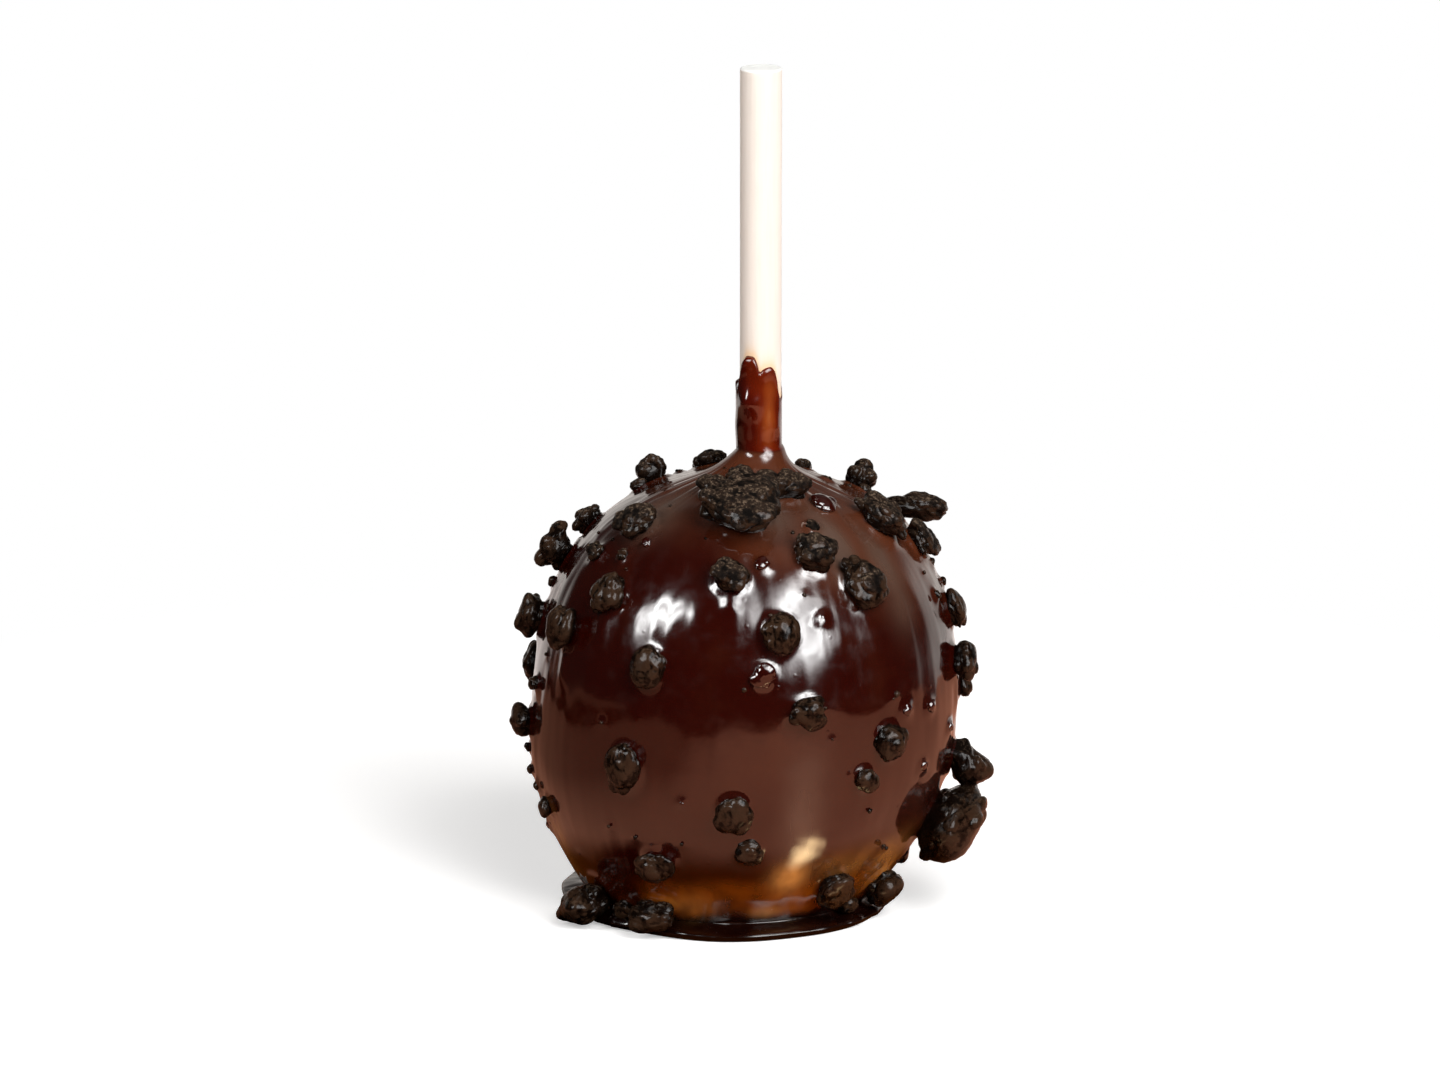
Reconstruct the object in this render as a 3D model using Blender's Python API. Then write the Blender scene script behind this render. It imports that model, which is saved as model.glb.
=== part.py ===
"""A small candy apple on a paper stick, standing on its own flat foot.

The ball wears a dark toffee glaze that climbed a little way up the stick and ran down into a thin
pool, and broken chocolate cookie is stuck all over it.

Frame: metres, +Z up. The origin is the centre of the flat foot, which rests on z = 0, and -Y is
the front. An azimuth is measured round the ball from the front, positive towards +X.
"""

import math

import bmesh
import bpy
from mathutils import Vector, noise

MM = 0.001

# Driving dimensions
BELLY_RADIUS = 30.6 * MM
BELLY_HEIGHT = 26.6 * MM
CROWN_HEIGHT = 62.1 * MM  # where the upper curve closes, inside the collar
CROWN_POWER = 2.5  # 2 would be an ellipse, more is squarer at the shoulder
TAPER = 0.375  # share of the belly's radius lost between belly and foot
TAPER_POWER = 1.9
LEAN = 2.7 * MM  # how far the ball leans to the right of its foot
LEAN_HEIGHT = 53.0 * MM  # where it has leaned all that way

FOOT_SPREAD = 4.2 * MM  # how far the pooled glaze runs out past the ball
FOOT_HEIGHT = 1.75 * MM
FOOT_POWER = 2.6
FOOT_WAVE = 0.10  # unevenness of the pool's edge, as a share of its spread
EDGE_TURN = 0.98  # the pool's edge turns under to this share of its width
RIB_DEPTH = 0.28 * MM

STICK_RADIUS = 2.976 * MM  # a 15/64 inch stick
STICK_LENGTH = 114.3 * MM
STICK_TOP = 121.3 * MM
STICK_X = 4.4 * MM  # the stick went in a little right of the crown's middle
STICK_EDGE = 0.25 * MM

GAP = 0.3 * MM  # room left between solids that touch

BORE_RADIUS = STICK_RADIUS + GAP
SLEEVE_WALL = 0.45 * MM
SLEEVE_RADIUS = BORE_RADIUS + SLEEVE_WALL
COLLAR_RISE = 4.1 * MM  # how far the glaze is drawn up round the stick
COLLAR_WIDTH = 2.6 * MM  # how fast that cone dies away from the stick
COLLAR_SHIFT = 3.0 * MM  # how fast its middle moves from the stick's to the ball's

SLEEVE_TOP = 74.0 * MM
# Runs of glaze left on the stick: azimuth, half width in degrees, height above SLEEVE_TOP
SLEEVE_RUNS = (
    (-31.0, 34.0, 6.4 * MM),
    (24.0, 30.0, 4.8 * MM),
    (-92.0, 24.0, 2.2 * MM),
    (150.0, 44.0, 3.0 * MM),
)
RUN_POWER = 4.0  # 2 would be a bell curve, more is rounder at the head
SLEEVE_EDGE = 0.25 * MM  # the sleeve's upper edge is eased by this much

SEGMENTS = 64
STICK_SEGMENTS = 32

# Cookie pieces that show best: azimuth, height, width, length along the slope, stand-off
COOKIES = (
    # crown, round the stick
    (-1, 59.3, 9.8, 9.6, 5.2),
    (38, 61.2, 5.8, 5.0, 3.2),
    (-122, 59.2, 4.6, 5.0, 4.0),
    (113, 58.9, 4.1, 4.6, 4.6),
    (-55, 57.4, 6.0, 6.2, 3.2),
    (66, 56.9, 5.4, 8.0, 4.0),
    (106, 55.6, 4.8, 5.4, 7.6),
    (86, 52.6, 5.6, 5.4, 2.8),
    # shoulder
    (-95, 50.2, 5.4, 6.6, 4.4),
    (-47, 49.1, 6.2, 6.2, 2.8),
    (25, 55.0, 6.2, 6.0, 3.0),
    (39, 51.1, 5.6, 8.2, 3.4),
    (-6, 53.0, 5.6, 5.4, 2.8),
    (9, 46.0, 5.7, 6.2, 3.2),
    # belly
    (-91, 41.0, 5.4, 6.2, 4.2),
    (-60, 43.2, 5.6, 6.0, 3.4),
    (-28, 40.9, 5.4, 6.0, 2.8),
    (84, 43.2, 4.8, 5.6, 2.4),
    (79, 36.4, 5.8, 5.8, 3.3),
    (-85, 27.2, 5.2, 5.0, 2.8),
    (-33, 26.5, 5.6, 7.4, 2.6),
    (16, 34.8, 5.2, 5.2, 2.8),
    (41, 29.1, 5.2, 5.6, 2.8),
    # lower side and foot
    (-2, 21.0, 6.0, 5.6, 2.8),
    (-24, 11.9, 6.0, 5.2, 3.0),
    (75, 14.2, 11.2, 9.0, 7.6),
    (83, 21.6, 5.4, 5.0, 6.8),
    (-55, 4.4, 6.4, 7.2, 5.2),
    (-28, 3.9, 6.0, 5.8, 4.0),
    (34, 7.6, 5.2, 7.0, 3.2),
    (61, 5.2, 5.4, 6.6, 3.6),
    (140, 4.8, 5.8, 6.2, 3.8),
    (-150, 5.0, 6.2, 6.6, 4.4),
)

# More of the same over the far side, on rising turns so that no two lie in line
FAR_COUNT = 18
FAR_FIRST = (112.0, 11.5)  # azimuth and height of the lowest
FAR_TURN = 53.0  # degrees of azimuth from one to the next
FAR_SPAN = 142.0  # width of the far side, between the rows that show from the front
FAR_RISE = 2.6
FAR_SIZE = (5.4, 1.2)  # size on average and how much it varies
FAR_STRETCH = 0.2  # how much longer or shorter than wide
FAR_STAND = 3.2

WAIST = 0.38  # share of its stand-off at which a piece is widest
FINE_SIZE = 8.0  # pieces at least this wide or long get the finer lump
SEARCH = 0.6  # how far up and down the outline is searched for its nearest point
STEP = 0.003  # small step of course or azimuth, to measure slopes


def lean(z):
    """Sideways place of the ball's own centre line at this height."""
    return LEAN * math.sin(0.5 * math.pi * min(max(z / LEAN_HEIGHT, 0.0), 1.0))


def foot_spread(z, azimuth):
    """How far the pooled glaze stands out past the ball at this height."""
    wave = math.sin(3.0 * azimuth + 0.7) + 0.6 * math.sin(7.0 * azimuth + 2.1)
    reach = FOOT_SPREAD * (1.0 + FOOT_WAVE * wave)
    return reach * math.exp(-((z / FOOT_HEIGHT) ** FOOT_POWER))


def rib(z, azimuth):
    """Soft upright ribs on the lower side, where the glaze ran down over the fruit."""
    window = math.exp(-(((z - 14.0 * MM) / (11.0 * MM)) ** 2)) * min(z / (4.0 * MM), 1.0)
    wave = math.sin(5.0 * azimuth + 1.2) + 0.5 * math.sin(11.0 * azimuth + 0.4)
    return RIB_DEPTH * window * wave


# The ball's outline is followed by one number, its course: 0 at the foot, 1 at the belly and 2
# where the collar meets the sleeve.
CROWN_TURN = math.acos((SLEEVE_RADIUS / BELLY_RADIUS) ** (0.5 * CROWN_POWER))


def outline(course):
    """Radius and height of the ball's outline: a power curve below, part of a squared-off
    ellipse above, and a cone that dies away from the stick on top of that."""
    if course < 1.0:
        fall = 1.0 - max(course, 0.0)
        radius = BELLY_RADIUS * (1.0 - TAPER * fall**TAPER_POWER)
        return radius, BELLY_HEIGHT * (1.0 - fall)
    turn = CROWN_TURN * (min(course, 2.0) - 1.0)
    radius = BELLY_RADIUS * math.cos(turn) ** (2.0 / CROWN_POWER)
    rise = (CROWN_HEIGHT - BELLY_HEIGHT) * math.sin(turn) ** (2.0 / CROWN_POWER)
    cone = COLLAR_RISE * math.exp((SLEEVE_RADIUS - radius) / COLLAR_WIDTH)
    return radius, BELLY_HEIGHT + rise + cone


def course_at(z):
    """The course at which the outline, without its collar, reaches a height."""
    if z < BELLY_HEIGHT:
        return max(z, 0.0) / BELLY_HEIGHT
    rise = (z - BELLY_HEIGHT) / (CROWN_HEIGHT - BELLY_HEIGHT)
    return 1.0 + math.asin(min(rise, 1.0) ** (0.5 * CROWN_POWER)) / CROWN_TURN


def centre_x(course):
    """Sideways place of the ring at this course, which moves over to the stick at the collar."""
    radius, z = outline(course)
    own = lean(z)
    if course < 1.0:
        return own
    return own + (STICK_X - own) * math.exp((SLEEVE_RADIUS - radius) / COLLAR_SHIFT)


def glaze_point(course, azimuth):
    """The point of the glaze at this course and azimuth."""
    radius, z = outline(course)
    radius += foot_spread(z, azimuth) + rib(z, azimuth)
    x = centre_x(course) + radius * math.sin(azimuth)
    return Vector((x, -radius * math.cos(azimuth), z))


def straight_out(course, azimuth):
    """Direction straight out of the glaze at this course and azimuth."""
    low = min(max(course - STEP, 0.0), 2.0 - 2.0 * STEP)
    upward = glaze_point(low + 2.0 * STEP, azimuth) - glaze_point(low, azimuth)
    around = glaze_point(course, azimuth + STEP) - glaze_point(course, azimuth - STEP)
    return around.cross(upward).normalized()


def nearest_course(point, azimuth):
    """Course of the glaze nearest to a point, by closing in on it from both sides."""
    middle = course_at(point.z)
    low = max(middle - SEARCH, 0.0)
    high = min(middle + SEARCH, 2.0)
    for _ in range(24):
        third = (high - low) / 3.0
        below = (glaze_point(low + third, azimuth) - point).length
        above = (glaze_point(high - third, azimuth) - point).length
        if below < above:
            high -= third
        else:
            low += third
    return 0.5 * (low + high)


def stand_off_glaze(point, distance):
    """Moves a point in or out until it is this far from the glaze."""
    azimuth = math.atan2(point.x - centre_x(course_at(point.z)), -point.y)
    course = nearest_course(point, azimuth)
    return glaze_point(course, azimuth) + straight_out(course, azimuth) * distance


def sleeve_rim(azimuth):
    """Height at which the thin sleeve of glaze ends on the stick."""
    rise = 0.0
    for middle, half_width, height in SLEEVE_RUNS:
        away = abs((math.degrees(azimuth) - middle + 180.0) % 360.0 - 180.0)
        rise = max(rise, height * math.exp(-((away / half_width) ** RUN_POWER)))
    return SLEEVE_TOP + rise


def make_material(name, colour, roughness, coat=0.0):
    material = bpy.data.materials.new(name)
    material.use_nodes = True
    shader = material.node_tree.nodes["Principled BSDF"]
    shader.inputs["Base Color"].default_value = (*colour, 1.0)
    shader.inputs["Roughness"].default_value = roughness
    shader.inputs["Metallic"].default_value = 0.0
    shader.inputs["Coat Weight"].default_value = coat
    return material


def add_object(name, mesh_data, material):
    """Makes a mesh from a bmesh, wears the material and links it to the scene."""
    mesh = bpy.data.meshes.new(name)
    mesh_data.to_mesh(mesh)
    mesh_data.free()
    mesh.materials.append(material)
    mesh.shade_smooth()
    mesh.set_sharp_from_angle(angle=math.radians(40))
    body = bpy.data.objects.new(name, mesh)
    bpy.context.scene.collection.objects.link(body)
    return body


def courses():
    """Where the ball's rings lie on its outline, closest together at the foot."""
    foot = [0.0, 0.012, 0.03, 0.05, 0.073, 0.107]
    lower = [0.17 + 0.83 * k / 7 for k in range(8)]
    upper = [1.0 + k / 15 for k in range(1, 16)]
    return foot + lower + upper


def make_ball(material):
    """The glazed ball: foot, belly, crown, collar and sleeve, with a blind bore for the stick."""
    azimuths = [math.tau * k / SEGMENTS for k in range(SEGMENTS)]
    rings = [[glaze_point(course, a) for a in azimuths] for course in courses()]
    rings[0] = [p * EDGE_TURN for p in rings[0]]
    collar_height = outline(2.0)[1]

    def stick_ring(radius, height):
        return [
            Vector((STICK_X + radius * math.sin(a), -radius * math.cos(a), height(a)))
            for a in azimuths
        ]

    rings.append(
        stick_ring(SLEEVE_RADIUS, lambda a: 0.5 * (collar_height + sleeve_rim(a)))
    )
    rings.append(stick_ring(SLEEVE_RADIUS, lambda a: sleeve_rim(a) - 2.0 * SLEEVE_EDGE))
    rings.append(stick_ring(SLEEVE_RADIUS - SLEEVE_EDGE, sleeve_rim))
    rings.append(stick_ring(BORE_RADIUS, sleeve_rim))
    bore_end = STICK_TOP - STICK_LENGTH - GAP
    rings.append(stick_ring(BORE_RADIUS, lambda a: bore_end))

    work = bmesh.new()
    rows = [[work.verts.new(p) for p in ring] for ring in rings]
    for low, high in zip(rows, rows[1:]):
        for k in range(SEGMENTS):
            nxt = (k + 1) % SEGMENTS
            work.faces.new((low[k], low[nxt], high[nxt], high[k]))
    work.faces.new(rows[0][::-1])
    work.faces.new(rows[-1])
    return add_object("glazed_ball", work, material)


def make_stick(material):
    """The paper stick, with its ends slightly eased."""
    work = bmesh.new()
    bmesh.ops.create_cone(
        work,
        cap_ends=True,
        segments=STICK_SEGMENTS,
        radius1=STICK_RADIUS,
        radius2=STICK_RADIUS,
        depth=STICK_LENGTH,
    )
    ends = [e for e in work.edges if abs(e.verts[0].co.z - e.verts[1].co.z) < GAP]
    bmesh.ops.bevel(work, geom=ends, offset=STICK_EDGE, segments=2, affect="EDGES")
    stick = add_object("paper_stick", work, material)
    stick.location = (STICK_X, 0.0, STICK_TOP - 0.5 * STICK_LENGTH)
    return stick


def lump(direction, seed):
    """Radius of a broken piece of cookie in this direction, about 1 on average."""
    shift = Vector((3.1 * seed, 1.7 * seed, -2.3 * seed))
    coarse = noise.noise(direction * 1.3 + shift)
    fine = noise.noise(direction * 3.1 - shift)
    return 1.0 + 0.30 * coarse + 0.16 * fine


def make_cookie(number, place, material):
    """One broken cookie piece, its underside GAP off the glaze that it is stuck to."""
    azimuth, height, width, length, stand_off = place
    turn = math.radians(azimuth)
    course = course_at(height * MM)
    middle = glaze_point(course, turn)
    out = straight_out(course, turn)
    along = out.cross(Vector((math.cos(turn), math.sin(turn), 0.0))).normalized()
    across = along.cross(out)
    waist = GAP + WAIST * (stand_off * MM - GAP)

    work = bmesh.new()
    detail = 3 if max(width, length) >= FINE_SIZE else 2
    bmesh.ops.create_icosphere(work, subdivisions=detail, radius=1.0)
    for vertex in work.verts:
        d = vertex.co.normalized()
        size = lump(d, number)
        if d.z > 0.0:
            stand = waist + d.z * size * (stand_off * MM - waist)
        else:
            stand = waist + d.z * (waist - GAP)
        point = middle + across * (d.x * size * width * 0.5 * MM)
        point += along * (d.y * size * length * 0.5 * MM) + out * stand
        point = stand_off_glaze(point, stand)
        point.z = max(point.z, GAP)
        vertex.co = point
    return add_object(f"cookie_{number:02d}", work, material)


def far_places():
    """Places of the cookie pieces on the far side, by the same kind of row as COOKIES."""
    places = []
    for k in range(FAR_COUNT):
        azimuth = FAR_FIRST[0] + (FAR_TURN * k) % FAR_SPAN
        height = FAR_FIRST[1] + FAR_RISE * k
        size = FAR_SIZE[0] + FAR_SIZE[1] * math.sin(2.4 * k)
        length = size * (1.0 + FAR_STRETCH * math.sin(1.9 * k))
        places.append((azimuth, height, size, length, FAR_STAND))
    return places


def main():
    for old in list(bpy.data.objects):
        bpy.data.objects.remove(old, do_unlink=True)

    glaze = make_material("glaze", (0.035, 0.010, 0.005), 0.08, coat=1.0)
    paper = make_material("paper", (0.86, 0.80, 0.70), 0.75)
    cookie = make_material("cookie", (0.035, 0.027, 0.020), 0.55)

    make_ball(glaze)
    make_stick(paper)
    for number, place in enumerate((*COOKIES, *far_places()), start=1):
        make_cookie(number, place, cookie)


main()
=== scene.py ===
import itertools
import math

import bpy
import numpy as np
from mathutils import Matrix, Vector


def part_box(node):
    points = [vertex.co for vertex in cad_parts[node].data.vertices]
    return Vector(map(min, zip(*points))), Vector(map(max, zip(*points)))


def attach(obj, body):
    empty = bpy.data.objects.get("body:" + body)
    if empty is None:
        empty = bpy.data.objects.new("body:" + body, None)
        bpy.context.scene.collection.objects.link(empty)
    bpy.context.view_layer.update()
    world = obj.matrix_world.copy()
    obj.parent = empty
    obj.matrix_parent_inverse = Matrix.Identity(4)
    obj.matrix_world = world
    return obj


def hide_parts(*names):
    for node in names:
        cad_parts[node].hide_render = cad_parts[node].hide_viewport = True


# A small candy apple: dark toffee glaze over a leaning ball, cookie pieces stuck to it, paper stick.
# Metres, +Z up, -Y the front. A course runs up the ball's outline: 0 foot, 1 belly, 2 collar.
# An azimuth is measured round the ball from the front, positive towards +X.

mm = 0.001
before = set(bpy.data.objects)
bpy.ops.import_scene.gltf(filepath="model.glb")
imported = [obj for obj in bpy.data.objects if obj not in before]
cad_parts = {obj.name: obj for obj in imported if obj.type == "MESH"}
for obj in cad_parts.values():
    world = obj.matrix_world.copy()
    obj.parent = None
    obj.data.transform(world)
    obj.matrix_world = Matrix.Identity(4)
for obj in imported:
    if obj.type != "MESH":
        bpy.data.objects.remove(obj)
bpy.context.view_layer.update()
print("frame loaded:", len(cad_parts), "nodes")

stickLow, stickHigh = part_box("paper_stick")
stickX = 0.5 * (stickLow.x + stickHigh.x)
stickRadius = 0.5 * (stickHigh.x - stickLow.x)
stickTop = stickHigh.z


# A number from -1 to 1 for each whole-numbered cell: its coordinates times large odd numbers,
# added up, with the bits folded over twice.
def cellNumbers(cells, seed):
    folded = cells @ np.array([374761393, 668265263, 2246822519]) + seed * 3266489917
    folded &= 0xFFFFFFFF
    folded = ((folded ^ (folded >> 13)) * 1274126177) & 0xFFFFFFFF
    folded ^= folded >> 16
    return (folded & 0xFFFF) / 32767.5 - 1.0


# Smooth noise: the numbers of the eight cells round a point, blended by 3t^2 - 2t^3 on each axis.
def softNoise(points, size, seed):
    scaled = points / size
    cells = np.floor(scaled).astype(np.int64)
    part = scaled - cells
    part = part * part * (3.0 - 2.0 * part)
    total = np.zeros(len(points))
    for corner in itertools.product((0, 1), repeat=3):
        share = np.where(corner, part, 1.0 - part)
        total += share[:, 0] * share[:, 1] * share[:, 2] * cellNumbers(cells + corner, seed)
    return total


# Noise in layers, each half the size and half the strength of the one before.
def layeredNoise(points, size, seed, layers=3):
    return sum(softNoise(points, size / 2**k, seed + k) / 2**k for k in range(layers))


# 0 up to low, 1 from high on, and 3t^2 - 2t^3 between them.
def smoothStep(value, low, high):
    t = np.clip((value - low) / (high - low), 0.0, 1.0)
    return t * t * (3.0 - 2.0 * t)


# Faces of a grid of rings that closes on itself sideways, with one point past each end ring:
# rings * columns points, then the point under the first ring, then the one over the last.
def wrappedFaces(rings, columns):
    column = np.arange(columns)
    following = (column + 1) % columns
    low = (np.arange(rings - 1) * columns)[:, None]
    quads = np.stack(
        [low + column, low + following, low + columns + following, low + columns + column], -1
    ).reshape(-1, 4)
    under = np.full(columns, rings * columns)
    last = (rings - 1) * columns
    fans = np.concatenate(
        [
            np.stack([following, column, under], -1),
            np.stack([last + column, last + following, under + 1], -1),
        ]
    )
    return quads, fans


# One object from grids of points, smooth shaded, with named numbers kept at its points.
def makePiece(name, grids, material, marks=None):
    points, quads, fans, start = [], [], [], 0
    for grid, ends in grids:
        rings, columns = grid.shape[:2]
        gridQuads, gridFans = wrappedFaces(rings, columns)
        points += [grid.reshape(-1, 3), ends]
        quads.append(gridQuads + start)
        fans.append(gridFans + start)
        start += rings * columns + 2
    points = np.concatenate(points)
    mesh = bpy.data.meshes.new(name)
    faces = np.concatenate(quads).tolist() + np.concatenate(fans).tolist()
    mesh.from_pydata(points.tolist(), [], faces)
    for mark, values in (marks or {}).items():
        attribute = mesh.attributes.new(mark, "FLOAT", "POINT")
        attribute.data.foreach_set("value", np.concatenate(values).astype(np.float32))
    mesh.validate()
    mesh.shade_smooth()
    mesh.materials.append(material)
    piece = bpy.data.objects.new(name, mesh)
    bpy.context.scene.collection.objects.link(piece)
    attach(piece, "root")
    print(name, len(mesh.polygons), "faces")
    return piece


class Nodes:
    # Short ways to add shader nodes to one tree and wire them up. An input is given by its name,
    # or by its number after an i.
    def __init__(self, tree):
        self.tree = tree

    def add(self, kind, settings=None, **inputs):
        node = self.tree.nodes.new(kind if kind.startswith("Node") else "ShaderNode" + kind)
        for key, value in (settings or {}).items():
            setattr(node, key, value)
        for key, value in inputs.items():
            self.put(node, key.replace("_", " "), value)
        return node

    def put(self, node, key, value):
        numbered = key[0] == "i" and key[1:].isdigit()
        socket = node.inputs[int(key[1:])] if numbered else node.inputs[key]
        if isinstance(value, bpy.types.NodeSocket):
            self.tree.links.new(value, socket)
        else:
            socket.default_value = value

    def math(self, operation, *values):
        node = self.add("Math", {"operation": operation})
        for k, value in enumerate(values):
            self.put(node, f"i{k}", value)
        return node.outputs[0]

    def times(self, first, second):
        return self.math("MULTIPLY", first, second)

    def plus(self, first, second):
        return self.math("ADD", first, second)

    def mix(self, factor, first, second):
        node = self.add("Mix", {"data_type": "RGBA"})
        for key, value in (("i0", factor), ("i6", first), ("i7", second)):
            self.put(node, key, value)
        return node.outputs[2]

    # A smooth step: outLow up to low, outHigh from high on.
    def between(self, value, low, high, outLow=0.0, outHigh=1.0):
        node = self.add("MapRange", {"interpolation_type": "SMOOTHSTEP"}, Value=value)
        for k, number in enumerate((low, high, outLow, outHigh), start=1):
            self.put(node, f"i{k}", number)
        return node.outputs[0]

    # The same over a mask, which runs from 0 to 1.
    def masked(self, mask, atNone, atFull):
        return self.between(mask, 0.0, 1.0, atNone, atFull)

    def mark(self, name):
        return self.add("Attribute", {"attribute_name": name}).outputs["Fac"]

    def noise(self, vector, scale, detail=3.0, roughness=0.5):
        node = self.add(
            "TexNoise", Vector=vector, Scale=scale, Detail=detail, Roughness=roughness
        )
        return node.outputs["Fac"]

    # How far a point is from a place.
    def distance(self, point, place):
        node = self.add("VectorMath", {"operation": "DISTANCE"}, i0=point, i1=place)
        return node.outputs["Value"]


def colour(*rgb):
    return (*rgb, 1.0)


def newMaterial(name):
    material = bpy.data.materials.new(name)
    material.use_nodes = True
    tree = material.node_tree
    return material, Nodes(tree), tree.nodes["Principled BSDF"]


# What light has left after going through the glaze to something pale and back: exp(-loss * depth)
# for red, green and blue, over the colour of glaze too deep to see through.
toffee = dict(
    deep=(0.0055, 0.0010, 0.0002),
    drowned=(0.0035, 0.0006, 0.0002),  # in the pool
    under=(0.80, 0.70, 0.56),  # what pale things under it give back
    loss=(3.3, 7.3, 11.5),  # for each millimetre of depth
    # amber near the foot: thin glaze, and partly a painted warm reflection
    amber=(0.23, 0.055, 0.0012),
    brown=(0.070, 0.0180, 0.0070),  # where the glaze is clouded at random, and a painted brown sheen on the crown
    paintedSheen=(0.080, 0.044, 0.0305),  # painted sheen: lighter patches that stand in for reflections
    paintedGoldLight=(0.62, 0.29, 0.075),  # painted light: a gold glow that stands in for lit reflections from below
    rampDepth=2.0,  # millimetres at the ramp's end
    rampStops=(0.0, 0.06, 0.125, 0.2, 0.3, 0.42, 0.62, 1.0),
    body=1.24,  # millimetres that the ball's glaze looks deep
    roughness=0.11,
    smearedRoughness=0.24,
    rougherInPool=0.06,
    coat=1.0,
    coatInPool=0.12,
    coatRoughness=0.075,
    refraction=1.55,
    # patterns, by how many fit in a metre, and how much those that run down it are drawn out
    streakScale=260.0,
    cloudScale=110.0,
    unevenScale=150.0,
    smearScale=420.0,
    rippleScale=330.0,
    fineScale=1500.0,
    fineShare=0.22,
    drawnOut=0.35,
    bubbleScale=420.0,
    bubbleSize=(0.05, 0.17),  # a bubble's top and edge, in cells
    bubbleChance=(0.72, 0.76),  # only cells whose number is above this have one
    bubbleHeight=0.8,
    rippleHeight=0.4 * mm,
    rippleOnBall=0.10,
    rippleOnCrumbs=0.25,
)


# A group that gives the glaze's colour from its depth, and a glow of amber broken into streaks,
# partly a painted reflection.
def toffeeColourGroup():
    group = bpy.data.node_groups.new("toffeeColour", "ShaderNodeTree")
    for name, number in (("Depth", 1.0), ("Amber", 0.0), ("Streaks", 0.5)):
        socket = group.interface.new_socket(name, in_out="INPUT", socket_type="NodeSocketFloat")
        socket.default_value = number
    group.interface.new_socket("Colour", in_out="OUTPUT", socket_type="NodeSocketColor")
    nodes = Nodes(group)
    given = nodes.add("NodeGroupInput").outputs
    depth = nodes.math("DIVIDE", given["Depth"], toffee["rampDepth"])
    ramp = nodes.add("ValToRGB", Fac=depth)
    stops = toffee["rampStops"]
    while len(ramp.color_ramp.elements) < len(stops):
        ramp.color_ramp.elements.new(0.5)
    for element, stop in zip(ramp.color_ramp.elements, stops):
        element.position = stop
        left = np.exp(-np.array(toffee["loss"]) * stop * toffee["rampDepth"])
        deepest = np.array(toffee["deep"] if stop < 1.0 else toffee["drowned"])
        element.color = colour(*(np.array(toffee["under"]) * left + deepest))
    glow = nodes.times(given["Amber"], given["Streaks"])
    warm = nodes.mix(glow, ramp.outputs["Color"], colour(*toffee["amber"]))
    nodes.add("NodeGroupOutput", Colour=warm)
    return group


# Toffee: its depth gives the colour, then random clouding with a painted sheen on the crown, painted
# sheen patches and painted golden light lie over it in turn.
def makeToffee(name, group, rippleStrength):
    material, nodes, shader = newMaterial(name)
    place = nodes.add("TexCoord").outputs["Object"]
    drawn = nodes.add("Mapping", Vector=place, Scale=(1.0, 1.0, toffee["drawnOut"])).outputs[0]
    streaks = nodes.between(nodes.noise(drawn, toffee["streakScale"]), 0.30, 0.70, 0.35, 1.0)
    tint = nodes.add("Group", {"node_tree": group})
    nodes.put(tint, "Depth", nodes.mark("depth"))
    nodes.put(tint, "Amber", nodes.mark("amber"))
    nodes.put(tint, "Streaks", streaks)
    cloud = nodes.between(nodes.noise(place, toffee["cloudScale"], 4.0, 0.6), 0.45, 0.8, 0.0, 0.16)
    uneven = nodes.noise(drawn, toffee["unevenScale"], 3.0, 0.55)
    # The crown's share of the brown is a painted sheen, made uneven; the rest is random clouding.
    crown = nodes.times(nodes.mark("cloudAndCrownSheen"), nodes.between(uneven, 0.3, 0.7, 0.72, 1.25))
    cloudAndCrownSheen = nodes.math("MAXIMUM", cloud, crown)
    shade = nodes.mix(cloudAndCrownSheen, tint.outputs[0], colour(*toffee["brown"]))
    # Painted sheen: lighter patches laid into the colour in place of reflections.
    shade = nodes.mix(nodes.mark("paintedSheen"), shade, colour(*toffee["paintedSheen"]))
    # Painted gold light, broken up by the streaks.
    lit = nodes.times(nodes.mark("paintedGoldLight"), nodes.masked(streaks, 0.35, 1.0))
    shade = nodes.mix(lit, shade, colour(*toffee["paintedGoldLight"]))
    nodes.put(shader, "Base Color", nodes.mix(nodes.mark("seeThrough"), shade, tint.outputs[0]))

    smear = nodes.noise(place, toffee["smearScale"], 2.0)
    rough = nodes.between(smear, 0.4, 0.75, toffee["roughness"], toffee["smearedRoughness"])
    pooled = nodes.mark("pooled")
    rough = nodes.math("MULTIPLY_ADD", pooled, toffee["rougherInPool"], rough)
    nodes.put(shader, "Roughness", rough)
    nodes.put(shader, "Coat Weight", nodes.masked(pooled, toffee["coat"], toffee["coatInPool"]))
    shader.inputs["Coat Roughness"].default_value = toffee["coatRoughness"]
    shader.inputs["IOR"].default_value = toffee["refraction"]

    fine = nodes.times(nodes.noise(place, toffee["fineScale"], 2.0), toffee["fineShare"])
    ripple = nodes.plus(nodes.noise(drawn, toffee["rippleScale"], 2.0), fine)
    cells = nodes.add("TexVoronoi", Vector=place, Scale=toffee["bubbleScale"])
    dome = nodes.between(cells.outputs["Distance"], *toffee["bubbleSize"], 1.0, 0.0)
    number = nodes.add("SeparateColor", Color=cells.outputs["Color"]).outputs[0]
    bubble = nodes.times(dome, nodes.between(number, *toffee["bubbleChance"]))
    ripple = nodes.plus(ripple, nodes.times(bubble, toffee["bubbleHeight"]))
    bump = nodes.add(
        "Bump", Height=ripple, Strength=rippleStrength, Distance=toffee["rippleHeight"]
    )
    nodes.put(shader, "Normal", bump.outputs[0])
    return material


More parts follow.
